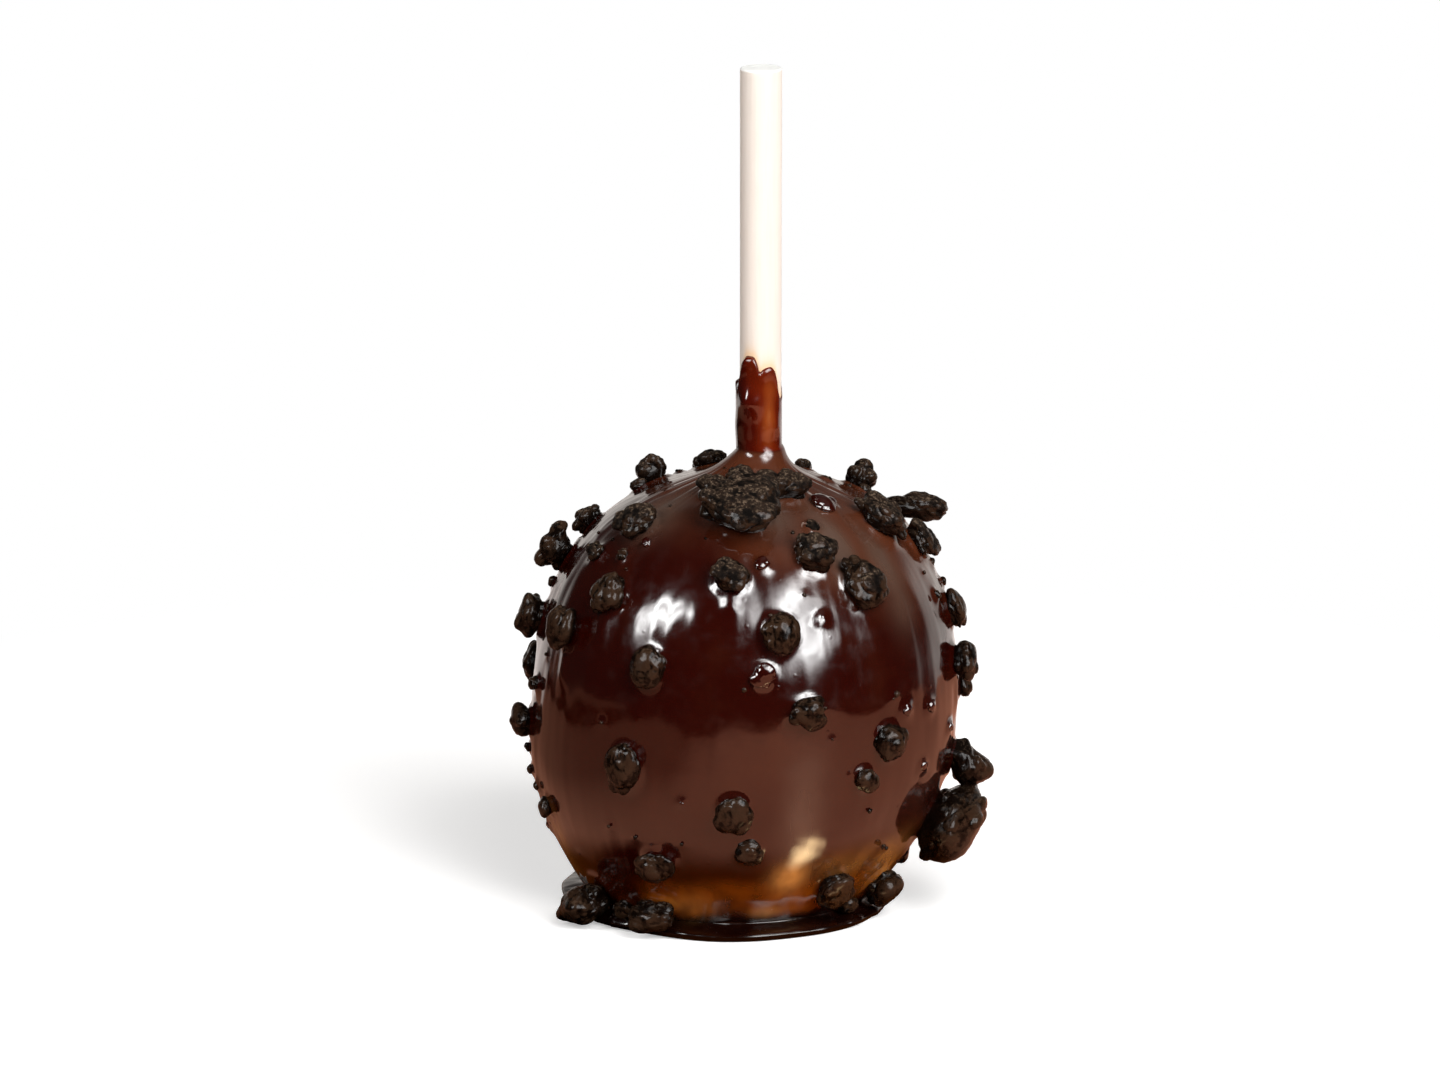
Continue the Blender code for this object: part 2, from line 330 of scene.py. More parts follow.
cookieLook = dict(
    # the darkest colours below are painted shade in the creases, dry and glazed
    creaseShade=(0.0026, 0.0016, 0.0011),
    crumb=(0.020, 0.0120, 0.0080),
    granule=(0.120, 0.083, 0.056),
    glazed=(0.028, 0.0145, 0.0082),
    glazedCreaseShade=(0.0030, 0.0014, 0.0008),
    dryRoughness=0.60,
    glazedRoughness=0.16,
    glazedCoat=0.21,
    coatRoughness=0.11,
    specular=0.06,
    grainScale=2200.0,
    mottleScale=520.0,
    facesUp=(0.40, 0.92),  # a slope's upward part, from which it counts as facing up, to fully so; what faces down gets painted shade and more glaze
    crumbLeftInShadeBelow=0.3,  # how much of the paler colours is left under the painted shade on what faces down
    granulesLeftInShadeBelow=0.12,
    wetterUnderneath=0.20,
    granulesInGlaze=0.22,  # how much of the granules shows through glaze
    reliefInGlaze=0.16,
    reliefStrength=0.9,
    reliefHeight=0.35 * mm,
)


# Cookie: painted shade blackens its creases and darkens what faces down, leaving it paler on top,
# with pale granules; darker and shiny where glazed, with painted shade on the sides and in the
# creases of its lumps.
def makeCookie():
    material, nodes, shader = newMaterial("chocolateCookie")
    place = nodes.add("TexCoord").outputs["Object"]
    grain = nodes.noise(place, cookieLook["grainScale"], 4.0, 0.7)
    mottle = nodes.noise(place, cookieLook["mottleScale"], 3.0, 0.55)
    high = nodes.plus(nodes.mark("high"), nodes.between(mottle, 0.3, 0.7, -0.3, 0.3))
    normal = nodes.add("TexCoord").outputs["Normal"]
    upward = nodes.add("SeparateXYZ", Vector=normal).outputs["Z"]
    facingUp = nodes.between(upward, *cookieLook["facesUp"])

    # Painted shade: what faces down keeps only part of the paler colours and granules.
    shown = nodes.masked(facingUp, cookieLook["crumbLeftInShadeBelow"], 1.0)
    # Painted shade: the low points among the crumbs go black.
    raised = nodes.times(nodes.between(high, 0.1, 0.8), shown)
    body = nodes.mix(raised, colour(*cookieLook["creaseShade"]), colour(*cookieLook["crumb"]))
    granules = nodes.times(nodes.between(grain, 0.50, 0.60), nodes.between(high, 0.15, 0.7))
    shown = nodes.masked(facingUp, cookieLook["granulesLeftInShadeBelow"], 1.0)
    granules = nodes.times(granules, shown)
    dry = nodes.mix(granules, body, colour(*cookieLook["granule"]))

    wetter = nodes.masked(facingUp, cookieLook["wetterUnderneath"], 0.0)
    covered = nodes.plus(nodes.mark("coated"), wetter)
    wet = nodes.between(nodes.plus(covered, mottle), 0.60, 0.78)
    # Painted shade darkens the sides and creases of glazed lumps, leaving their tops paler.
    proud = nodes.between(nodes.mark("rise"), 0.35, 0.85)
    above = nodes.times(nodes.between(high, 0.15, 0.8), proud)
    glazed = nodes.mix(above, colour(*cookieLook["glazedCreaseShade"]), colour(*cookieLook["glazed"]))
    veiled = nodes.times(granules, cookieLook["granulesInGlaze"])
    glazed = nodes.mix(veiled, glazed, colour(*cookieLook["granule"]))
    nodes.put(shader, "Base Color", nodes.mix(wet, dry, glazed))

    rough = nodes.masked(wet, cookieLook["dryRoughness"], cookieLook["glazedRoughness"])
    nodes.put(shader, "Roughness", rough)
    nodes.put(shader, "Coat Weight", nodes.masked(wet, 0.0, cookieLook["glazedCoat"]))
    shader.inputs["Coat Roughness"].default_value = cookieLook["coatRoughness"]
    shader.inputs["Specular IOR Level"].default_value = cookieLook["specular"]
    relief = nodes.times(grain, nodes.masked(wet, 1.0, cookieLook["reliefInGlaze"]))
    bump = nodes.add(
        "Bump",
        Height=relief,
        Strength=cookieLook["reliefStrength"],
        Distance=cookieLook["reliefHeight"],
    )
    nodes.put(shader, "Normal", bump.outputs[0])
    return material


paperLook = dict(
    sheet=(0.80, 0.745, 0.675),
    fibre=(0.75, 0.690, 0.610),
    blotch=(0.87, 0.81, 0.73),
    stain=(0.80, 0.50, 0.22),
    endGrain=(0.86, 0.86, 0.83),
    roughness=0.72,
    fibreScale=2400.0,
    drawnOut=0.05,  # fibres lie along the stick
    blotchScale=160.0,
    toothScale=3000.0,
    toothShare=0.5,
    reliefStrength=0.25,
    reliefHeight=0.08 * mm,
)


# Rolled paper: fibres along it, faint blotches, a stain above the glaze and pale cut ends.
def makePaper():
    material, nodes, shader = newMaterial("rolledPaper")
    place = nodes.add("TexCoord").outputs["Object"]
    drawn = nodes.add("Mapping", Vector=place, Scale=(1.0, 1.0, paperLook["drawnOut"])).outputs[0]
    fibres = nodes.noise(drawn, paperLook["fibreScale"])
    fibred = nodes.between(fibres, 0.4, 0.75, 0.0, 0.45)
    sheet = nodes.mix(fibred, colour(*paperLook["sheet"]), colour(*paperLook["fibre"]))
    blotched = nodes.between(nodes.noise(place, paperLook["blotchScale"], 2.0), 0.5, 0.8, 0.0, 0.25)
    sheet = nodes.mix(blotched, sheet, colour(*paperLook["blotch"]))
    sheet = nodes.mix(nodes.mark("stain"), sheet, colour(*paperLook["stain"]))
    sheet = nodes.mix(nodes.mark("cutEnd"), sheet, colour(*paperLook["endGrain"]))
    nodes.put(shader, "Base Color", sheet)
    shader.inputs["Roughness"].default_value = paperLook["roughness"]
    tooth = nodes.times(nodes.noise(place, paperLook["toothScale"], 2.0), paperLook["toothShare"])
    bump = nodes.add(
        "Bump",
        Height=nodes.plus(fibres, tooth),
        Strength=paperLook["reliefStrength"],
        Distance=paperLook["reliefHeight"],
    )
    nodes.put(shader, "Normal", bump.outputs[0])
    return material


toffeeGroup = toffeeColourGroup()
glazeMaterial = makeToffee("toffeeGlaze", toffeeGroup, toffee["rippleOnBall"])
drownedMaterial = makeToffee("drownedCrumb", toffeeGroup, toffee["rippleOnCrumbs"])
cookieMaterial = makeCookie()
paperMaterial = makePaper()
print("materials made")


# The ball's outline, as in the CAD
ball = dict(
    bellyRadius=30.6 * mm,
    bellyHeight=26.6 * mm,
    crownHeight=62.1 * mm,
    crownPower=2.5,
    taper=0.375,
    taperPower=1.9,
    lean=2.7 * mm,
    leanHeight=53.0 * mm,
    poolSpread=4.2 * mm,
    poolHeight=1.55 * mm,
    poolPower=6.0,
    poolWave=0.10,
    poolWaves=((3.0, 0.7, 1.0), (7.0, 2.1, 0.6)),  # waves round the pool: how many, phase, share
    ribDepth=0.28 * mm,
    ribWaves=((5.0, 1.2, 1.0), (11.0, 0.4, 0.5)),
    ribHeight=14.0 * mm,  # where the ribs are deepest, and how fast they fade above and below
    ribSpan=11.0 * mm,
    ribFoot=4.0 * mm,  # they start between the foot and here
    collarRadius=stickRadius + 0.48 * mm,
    collarRise=4.1 * mm,
    collarWidth=2.6 * mm,
    collarShift=3.0 * mm,
)
crownTurn = math.acos((ball["collarRadius"] / ball["bellyRadius"]) ** (0.5 * ball["crownPower"]))


# Radius and height of the bare ball: a power curve up to the belly, then a squared-off ellipse.
def bareOutline(course):
    fall = 1.0 - np.clip(course, 0.0, 1.0)
    turn = crownTurn * (np.clip(course, 1.0, 2.0) - 1.0)
    radius = ball["bellyRadius"] * (1.0 - ball["taper"] * fall ** ball["taperPower"])
    radius = radius * np.cos(turn) ** (2.0 / ball["crownPower"])
    rise = (ball["crownHeight"] - ball["bellyHeight"]) * np.sin(turn) ** (2.0 / ball["crownPower"])
    return radius, ball["bellyHeight"] * (1.0 - fall) + rise


# The ball leans sideways by a quarter of a sine wave.
def leanAt(height):
    return ball["lean"] * np.sin(0.5 * np.pi * np.clip(height / ball["leanHeight"], 0.0, 1.0))


# A finely stepped outline, with the length walked along it so far.
crownSteps = 1.0 + np.linspace(0.0, 1.0, 3201)[1:] ** 1.5
stepCourses = np.concatenate([np.linspace(0.0, 1.0, 801), crownSteps])
stepRadii, stepHeights = bareOutline(stepCourses)
stepLengths = np.hypot(np.diff(stepRadii), np.diff(stepHeights))
stepWalk = np.concatenate([[0.0], np.cumsum(stepLengths)])


# The course at a height on the outline.
def courseAt(height):
    return float(np.interp(height, stepHeights, stepCourses))


# Points on rings: sine of the azimuth times the radius to the side, minus its cosine to the front.
def ringPoints(middle, radius, height, azimuth):
    return np.stack([middle + radius * np.sin(azimuth), -radius * np.cos(azimuth), height], -1)


def bareSurface(course, azimuth):
    radius, height = bareOutline(course)
    return ringPoints(leanAt(height), radius, height, azimuth)


# A sum of sine waves round the ball.
def waves(rows, azimuth):
    return sum(share * np.sin(count * azimuth + phase) for count, phase, share in rows)


# The bare ball with its pool at the foot, ribs low down and a cone drawn up round the stick.
# The pool falls off as exp(-height^6), the ribs as a bell curve, the cone as exp(-radius).
def glazeSurface(course, azimuth):
    radius, height = bareOutline(course)
    cone = np.exp((ball["collarRadius"] - radius) / ball["collarWidth"]) * (course > 1.0)
    height = height + ball["collarRise"] * cone
    reach = ball["poolSpread"] * (1.0 + ball["poolWave"] * waves(ball["poolWaves"], azimuth))
    pool = reach * np.exp(-((height / ball["poolHeight"]) ** ball["poolPower"]))
    window = np.exp(-(((height - ball["ribHeight"]) / ball["ribSpan"]) ** 2))
    window = window * np.clip(height / ball["ribFoot"], 0, 1)
    ribs = ball["ribDepth"] * window * waves(ball["ribWaves"], azimuth)
    lean = leanAt(height)
    toStick = np.exp((ball["collarRadius"] - radius) / ball["collarShift"]) * (course > 1.0)
    middle = lean + (stickX - lean) * toStick
    return ringPoints(middle, radius + pool + ribs, height, azimuth)


# Directions across, along (up the slope) and straight out of a surface, from small steps on it.
def surfaceAxes(surface, course, azimuth):
    step = 0.002
    low = np.clip(course - step, 0.0, 2.0 - 2.0 * step)
    upward = surface(low + 2.0 * step, azimuth) - surface(low, azimuth)
    around = surface(course, azimuth + step) - surface(course, azimuth - step)
    out = np.cross(around, upward)
    out /= np.linalg.norm(out, axis=-1, keepdims=True)
    across = around / np.linalg.norm(around, axis=-1, keepdims=True)
    return across, np.cross(out, across), out


# The pieces of cookie
cookies = dict(
    ballSize=1.20 * mm,  # the chunks a piece is broken into
    ballShare=(0.30, 0.55),  # and their least and greatest size, as a share of half the piece
    broadHeight=0.16,  # how uneven a piece is as a whole
    broadSize=0.9,
    cuts=5,  # flat broken faces, and how far out they lie
    cutReach=(0.86, 1.02),
    crumbSize=1.25 * mm,
    crumbHeight=0.24 * mm,
    gritSize=0.45,  # as a share of the crumbs' size
    gritShare=0.35,
    detailPerMm=7.1,  # rings for each millimetre of a piece's width
    mostRings=66,
    coatedBelow=0.50,  # share of a piece's height that glaze has crept up, on the crown
    coatedWhole=(42.0 * mm, 56.0 * mm),  # pieces lower than this are coated whole
    lastInFront=33,  # nodes numbered above this are on the far side
    crownFrom=1.5,  # and those in front past this course are on the crown
    # pieces with lobes of their own: direction (across, along, out), height and width of each
    lobes={
        "cookie_01": (
            (-0.9, 0.2, 0.3, 0.35, 0.10), (0.9, 0.5, 0.4, 0.40, 0.08), (0.1, -0.8, 0.4, 0.3, 0.1),
        ),
        "cookie_06": ((0.5, 0.8, 0.5, 0.35, 0.10), (-0.7, 0.3, 0.5, 0.25, 0.08)),
        "cookie_07": (
            (0, 0.8, 0.8, 0.35, 0.08), (0, -0.5, 0.9, 0.30, 0.08), (0, 0.6, -0.7, 0.3, 0.1),
        ),
        "cookie_09": (
            (0.2, 0.9, 0.6, 0.55, 0.07), (-0.2, -0.9, 0.5, 0.45, 0.07), (0.3, 0.1, 1.0, 0.3, 0.1),
        ),
        "cookie_15": ((0.1, 0.8, 0.7, 0.40, 0.08), (0.2, -0.6, 0.9, 0.40, 0.08)),
        "cookie_26": ((-0.5, -0.4, 0.7, 0.12, 0.20), (0.4, 0.7, 0.6, 0.15, 0.20)),
        "cookie_27": (
            (0.1, 0.2, 1.0, 0.50, 0.12), (-0.1, 0.7, -0.6, 0.50, 0.15), (0, 1, 0.25, -0.3, 0.06),
        ),
        "cookie_28": ((0.4, 0.7, 0.7, 0.30, 0.08), (-0.6, -0.2, 0.7, 0.30, 0.08)),
    },
    # and of another shape than their part: width, length and stand-off times these, and how far
    # they lean downwards for each millimetre out
    reshaped={
        "cookie_07": (1.0, 0.95, 0.84, 0.62),
        "cookie_26": (1.08, 1.13, 1.08, -0.10),
        "cookie_27": (1.15, 1.12, 1.0, 0.16),
    },
)

# Crumbs too small to be parts of their own: azimuth, height, size in millimetres
crumbs = dict(
    dry=(
        (-32, 61.4, 4.8), (-6, 61.8, 5.4), (24, 61.8, 4.6), (-148, 61.3, 4.6), (-114, 58.7, 2.6),
        (-146, 60.8, 3.4), (-52, 63.0, 3.6), (137, 60.8, 3.0), (95, 61.0, 1.8),
        (108, 58.6, 2.6), (-65, 53.2, 2.9), (-51, 54.0, 1.8), (-95, 46.0, 1.7), (-77, 33.5, 2.2),
        (34, 24.4, 3.6), (89, 31.6, 3.4), (87, 49.9, 1.5), (92, 46.4, 1.4), (75, 46.5, 1.4),
        (3, 15.1, 4.0), (-69, 16.5, 3.0), (-88, 22.6, 1.4), (-86, 19.6, 1.5), (-77, 18.4, 1.4),
        (-42, 3.0, 4.0), (48, 3.4, 3.0), (30, 58.2, 2.0), (15, 61.2, 3.2), (-20, 61.4, 3.0),
    ),
    drowned=(
        (48, 59.9, 4.2), (5, 54.7, 2.2), (4, 40.5, 3.6), (48, 33.2, 2.0), (59, 32.4, 2.0),
        (72, 27.9, 1.9), (-16, 21.9, 0.7), (22, 47.5, 1.4), (-44, 56.0, 1.6), (57, 24.0, 1.5),
        (-80, 12.0, 1.6), (66, 15.0, 1.8), (88, 6.8, 3.0),
    ),
    # more of both on the side away from the front: how many, and their least and greatest size
    farDry=(34, 1.2, 3.8),
    farDrowned=(14, 1.0, 3.0),
    farAzimuths=(105.0, 255.0),
    flatness=0.62,  # how far a crumb stands off, as a share of its size
    drownedFlatness=0.42,
    specks=60,
    speckSize=(0.35, 0.95),
    seed=11,
)


# Where a lump sits: its course and azimuth, half its width and length, and how far it stands off.
def seatOfNode(node):
    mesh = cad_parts[node].data
    points = np.empty(len(mesh.vertices) * 3)
    mesh.vertices.foreach_get("co", points)
    points = points.reshape(-1, 3)
    middle = 0.5 * (points.min(0) + points.max(0))
    azimuth = math.atan2(middle[0] - leanAt(middle[2]), -middle[1])
    courses = stepCourses[(stepCourses > 0.02) & (stepCourses < 1.97)][::4]
    away = np.linalg.norm(bareSurface(courses, azimuth) - middle, axis=-1)
    course = courses[away.argmin()]
    seat = bareSurface(course, azimuth)
    local = (points - seat) @ np.stack(surfaceAxes(bareSurface, course, azimuth), 1)
    low, high = local.min(0), local.max(0)
    return dict(
        course=course,
        azimuth=azimuth,
        halfWidth=0.5 * (high[0] - low[0]),
        halfLength=0.5 * (high[1] - low[1]),
        standOff=high[2],
        lengthShift=0.5 * (high[1] + low[1]),
    )


# The same for a crumb, from its azimuth in degrees, and its height and size in millimetres.
def seatAt(azimuth, height, size, flatness=crumbs["flatness"]):
    half = 0.5 * size * mm
    return dict(
        course=courseAt(height * mm),
        azimuth=math.radians(azimuth),
        halfWidth=half,
        halfLength=half,
        standOff=2.0 * half * flatness,
        lengthShift=0.0,
    )


# Reach of a lump in each direction: a few balls over a core, then crumbs. A ball at c of radius r
# meets the direction d at d.c + sqrt(r^2 - |c|^2 + (d.c)^2), and the farthest ball wins. Core and
# balls follow a broad shape: 1, plus noise, plus lobes that fade as a bell curve. Flat cuts, each
# met at its distance / cosine, leave broken faces. Crumbs are the noise's size without its sign,
# which is round on top and creased between. A smooth lump has a fuller core and lower crumbs.
def lumpReach(directions, seed, lobes, halfSize, smooth):
    random = np.random.default_rng(seed)

    def broadShape(toward):
        noise = layeredNoise(toward + 7.3 * seed, cookies["broadSize"], seed, 2)
        shape = 1.0 + cookies["broadHeight"] * noise
        for *lobe, height, width in lobes:
            aim = np.array(lobe) / np.linalg.norm(lobe)
            shape += height * np.exp((toward @ aim - 1.0) / width)
        return shape

    least, greatest = cookies["ballShare"]
    ballShare = min(max(cookies["ballSize"] / halfSize, least), greatest)
    count = int(3.2 / ballShare**1.5)
    centres = random.normal(size=(count, 3))
    centres /= np.linalg.norm(centres, axis=1, keepdims=True)
    sizes = ballShare * (0.6 + 0.8 * random.uniform(0.0, 1.0, count) ** 1.5)
    centres *= (random.uniform(0.82, 1.0, count) * broadShape(centres) - 0.70 * sizes)[:, None]
    core = broadShape(directions) * (0.97 - (0.44 - 0.20 * smooth) * ballShare)
    along = directions @ centres.T
    inside = sizes**2 - (centres**2).sum(1) + along**2
    reach = np.where(inside > 0.0, along + np.sqrt(np.maximum(inside, 0.0)), 0.0).max(1)
    reach = np.maximum(reach, core)
    facing = random.normal(size=(cookies["cuts"], 3))
    facing /= np.linalg.norm(facing, axis=1, keepdims=True)
    distances = random.uniform(*cookies["cutReach"], cookies["cuts"])
    cuts = distances / np.maximum(directions @ facing.T, 0.05)
    reach = np.minimum(reach, cuts.min(1) + 0.4 * (reach - core))
    spot = directions * reach[:, None] * halfSize + 0.013 * seed
    crumb = np.abs(layeredNoise(spot, cookies["crumbSize"], seed + 40, 2))
    grit = np.abs(layeredNoise(spot, cookies["gritSize"] * cookies["crumbSize"], seed + 60, 2))
    crumbHeight = cookies["crumbHeight"] * (1.0 - 0.4 * smooth)
    raised = crumbHeight * (crumb - 0.3 + cookies["gritShare"] * (grit - 0.3))
    proud = np.clip((reach - core) / ballShare, 0.0, 0.5)
    # The second value, how high a point stands among its crumbs, sets the painted shade in the
    # creases.
    return reach + raised / halfSize, np.clip(0.9 * crumb + 0.7 * grit + 0.6 * proud, 0.0, 1.5)


# A lump as rings round its own long axis, laid in ball coordinates: so far across, along and out.
def makeLump(seat, seed, detail, lobes=(), sink=0.5 * mm):
    columns = 2 * detail
    polar = np.pi * (np.arange(detail) + 0.5) / detail
    around = 2.0 * np.pi * np.arange(columns) / columns
    sine, cosine = np.sin(polar)[:, None], np.cos(polar)[:, None]
    grid = np.stack(
        [-cosine + 0.0 * around, sine * np.cos(around), sine * np.sin(around)], -1
    ).reshape(-1, 3)
    directions = np.concatenate([grid, [[-1.0, 0.0, 0.0], [1.0, 0.0, 0.0]]])
    halfSize = (seat["halfWidth"] * seat["halfLength"]) ** 0.5
    seatRadius, seatHeight = bareOutline(seat["course"])
    smooth = 1.0 - smoothStep(seatHeight, *cookies["coatedWhole"])
    reach, grain = lumpReach(directions, seed, lobes, halfSize, smooth)
    local = directions * reach[:, None]
    low, high = local.min(0), local.max(0)
    unit = (local - low) / (high - low)
    across = (2.0 * unit[:, 0] - 1.0) * seat["halfWidth"]
    out = -sink + unit[:, 2] * (seat["standOff"] + sink)
    along = (2.0 * unit[:, 1] - 1.0) * seat["halfLength"] + seat["lengthShift"]
    along = along - seat.get("lean", 0.0) * out
    azimuth = seat["azimuth"] + across / max(seatRadius, 6.0 * mm)
    walk = np.interp(seat["course"], stepCourses, stepWalk) + along
    course = np.clip(np.interp(walk, stepWalk, stepCourses), 0.004, 1.985)
    outward = surfaceAxes(bareSurface, course, azimuth)[2]
    points = bareSurface(course, azimuth) + outward * out[:, None]
    points[:, 2] = np.maximum(points[:, 2], 0.1 * mm)
    return (points[:-2].reshape(detail, columns, 3), points[-2:]), grain, unit[:, 2]


# Azimuths, heights and sizes drawn at random, with more of them low down and small.
def farCrumbs(random, count, smallest, largest):
    azimuth = random.uniform(*crumbs["farAzimuths"], count)
    height = 5.0 + 55.0 * random.uniform(0.0, 1.0, count) ** 0.8
    size = smallest + (largest - smallest) * random.uniform(0.0, 1.0, count) ** 2
    return np.stack([azimuth, height, size], -1).tolist()


# The same for specks, all round the ball.
def specks(random, count):
    azimuth = random.uniform(-180.0, 180.0, count)
    height = 4.0 + 57.0 * random.uniform(0.0, 1.0, count) ** 0.75
    size = random.uniform(*crumbs["speckSize"], count)
    return np.stack([azimuth, height, size], -1).tolist()


random = np.random.default_rng(crumbs["seed"])
cookieNames = [name for name in sorted(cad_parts) if name.startswith("cookie")]
cookieSeats = {name: seatOfNode(name) for name in cookieNames}
for name, (wider, longer, higher, lean) in cookies["reshaped"].items():
    seat = cookieSeats[name]
    seat["halfWidth"] *= wider
    seat["halfLength"] *= longer
    seat["standOff"] *= higher
    seat["lean"] = lean
flat = crumbs["drownedFlatness"]
drySeats = [seatAt(*row) for row in crumbs["dry"]]
drySeats += [seatAt(*row) for row in farCrumbs(random, *crumbs["farDry"])]
drownedSeats = [seatAt(*row, flat) for row in crumbs["drowned"]]
drownedSeats += [seatAt(*row, flat) for row in farCrumbs(random, *crumbs["farDrowned"])]
speckSeats = [seatAt(*row) for row in specks(random, crumbs["specks"])]


# One object of lumps. Each is coated with glaze up to a share of its height, and whole low down.
def lumpPiece(name, seats, material, slot, nodes=(), finest=10, lobes=None, coated=0.4, **shape):
    lobes = lobes or [()] * len(seats)
    grids, high, glazed, depth, risen = [], [], [], [], []
    for number, (seat, ownLobes) in enumerate(zip(seats, lobes)):
        width = 2.0 * max(seat["halfWidth"], seat["halfLength"]) / mm
        detail = int(min(max(cookies["detailPerMm"] * width, finest), cookies["mostRings"]))
        grid, grain, rise = makeLump(seat, 100 * len(name) + number, detail, ownLobes, **shape)
        grids.append(grid)
        high.append(grain)
        risen.append(rise)
        _, seatHeight = bareOutline(seat["course"])
        coatedTo = coated + 0.8 * (1.0 - smoothStep(seatHeight, *cookies["coatedWhole"]))
        glazed.append(smoothStep(coatedTo - rise, -0.25, 0.25) * 0.75)
        depth.append(np.full(len(grain), toffee["body"]))
    marks = {"high": high, "coated": glazed, "depth": depth, "rise": risen}
    piece = makePiece(name, grids, material, marks)
    if nodes:
        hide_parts(*nodes)


frontNames = [name for name in cookieNames if int(name[-2:]) <= cookies["lastInFront"]]
crownNames = [name for name in frontNames if cookieSeats[name]["course"] > cookies["crownFrom"]]
sideNames = [name for name in frontNames if name not in crownNames]
farNames = [name for name in cookieNames if name not in frontNames]
groups = {"cookieCrown": crownNames, "cookieSides": sideNames, "cookieFar": farNames}
for name, members in groups.items():
    lumpPiece(
        name,
        [cookieSeats[member] for member in members],
        cookieMaterial,
        "cookie",
        nodes=members,
        lobes=[cookies["lobes"].get(member, ()) for member in members],
        coated=cookies["coatedBelow"],
    )
lumpPiece("cookieCrumbs", drySeats, cookieMaterial, "cookie", coated=0.45, sink=0.3 * mm)
lumpPiece("drownedCrumbs", drownedSeats, drownedMaterial, "glaze", sink=0.3 * mm)
lumpPiece("cookieSpecks", speckSeats, cookieMaterial, "cookie", finest=6, coated=0.7, sink=0.1 * mm)


glaze = dict(
    columns=384,
    rings=178,
    footRings=44,  # closer ones, up to
    footHeight=3.6 * mm,
    sleeveRings=26,
    broadWobble=0.24 * mm,
    broadSize=13.0 * mm,
    runWobble=0.11 * mm,  # drawn out downwards
    runSize=4.4 * mm,
    threadWobble=0.05 * mm,  # thin upright threads
    threadSize=2.0 * mm,
    poolWobble=0.12 * mm,
    poolWobbleSize=3.2 * mm,
    rimHeight=0.42 * mm,  # the glaze creeps this far up what is stuck in it
    rimWidth=0.46 * mm,
    rimShares=dict(cookie=1.0, drowned=0.8, speck=0.25),
    overhang=0.96,  # how wide the rim's foot is, as a share of what is stuck in it
    overhangLarge=0.72,  # the same for pieces past this half width, which hang over it
    overhangFrom=4.0 * mm,
    sagWidth=1.6,  # and spreads this much wider on the lower side
    tailEvery=3,  # every third piece has a run of glaze below it
    tailLength=6.0 * mm,
    tailHeight=0.28 * mm,
    tailWidth=1.2 * mm,
    crownFrom=52.0 * mm,  # a painted brown sheen lies on the glaze from here up, and more so on the right
    crownFull=62.5 * mm,
    crownTilt=0.33,
    poolDeep=(2.0 * mm, 3.4 * mm),  # it looks deepest below the first and as on the ball above
    poolDull=(3.6 * mm, 5.4 * mm),
    # painted sheen patches: azimuth and half width in degrees, height and half length, strength
    paintedSheen=(
        (17.5, 5.5, 18.0 * mm, 9.0 * mm, 1.0), (60.0, 10.0, 20.0 * mm, 6.0 * mm, 0.2),
        (13.0, 10.0, 60.0 * mm, 2.2 * mm, 0.9), (36.0, 7.0, 56.0 * mm, 4.5 * mm, 1.0),
        (53.0, 6.0, 51.0 * mm, 6.0 * mm, 1.0), (-52.0, 13.0, 59.0 * mm, 2.6 * mm, 0.9),
        (-12.0, 10.0, 61.0 * mm, 1.6 * mm, 0.6),
    ),
    # amber near the foot, partly thin glaze and partly a painted warm reflection: from and to where
    # it comes in and goes, going up, and the azimuths that it lies between, with a little beyond them
    amberIn=(2.6 * mm, 4.2 * mm),
    amberOut=(6.5 * mm, 10.5 * mm),
    amberSpan=(-30.0, 68.0),
    amberBeyond=0.08,
    # painted light: where a gold glow is painted in, given in the same way as the sheen patches
    paintedGoldLight=(
        (39.0, 13.0, 11.0 * mm, 2.4 * mm, 0.26), (58.0, 7.0, 9.5 * mm, 3.2 * mm, 0.9),
        (12.0, 5.0, 3.8 * mm, 1.0 * mm, 0.45), (17.0, 5.0, 10.0 * mm, 2.2 * mm, 1.0),
        (-70.0, 5.0, 11.0 * mm, 5.0 * mm, 0.5), (-13.0, 9.0, 5.0 * mm, 2.0 * mm, 0.25),
        (120.0, 9.0, 9.0 * mm, 3.0 * mm, 0.6), (170.0, 12.0, 7.0 * mm, 2.5 * mm, 0.5),
        (-135.0, 10.0, 8.0 * mm, 3.0 * mm, 0.5),
    ),
)

sleeve = dict(
    top=74.0 * mm,
    # runs of glaze left on the stick: azimuth and half width in degrees, height above top
    runs=(
        (-31.0, 34.0, 6.4 * mm), (20.0, 34.0, 4.8 * mm), (-6.0, 24.0, 4.4 * mm),
        (-92.0, 24.0, 2.2 * mm), (150.0, 44.0, 3.0 * mm),
    ),
    runPower=4.0,  # how round-headed the runs are
    rimWobble=0.35 * mm,
    # drops that hang in it: azimuth, height, half length and how far each stands proud
    drips=((-29.0, 73.4 * mm, 1.7 * mm, 0.80 * mm), (40.0, 70.0 * mm, 1.4 * mm, 0.30 * mm)),
    dripWidth=24.0,  # half of it, in degrees
    thick=0.34 * mm,
    thickSide=0.24 * mm,  # thicker towards the left, thinner towards the right
    sideAzimuth=math.radians(-100.0),
    beadHeight=0.12 * mm,
    beadSize=2.4 * mm,
    rimBead=0.07 * mm,  # rounded upper edge
    tuck=0.5 * mm,  # how far its top turns in under the stick's surface
    looksDeep=0.86,
    looksDeepLeft=0.45,  # more than that towards the left
    leftFrom=(25.0, 70.0),  # degrees left of the front
    looksDeepBeads=0.10,
    looksThinAbove=0.16,  # and less near the rim
    rimHeights=(73.0 * mm, 76.0 * mm),
    paintedLightPatch=(18.0, 26.0, 71.0 * mm, 5.5 * mm, 0.50),  # painted light: a lit patch, where the glaze is drawn thinner
)


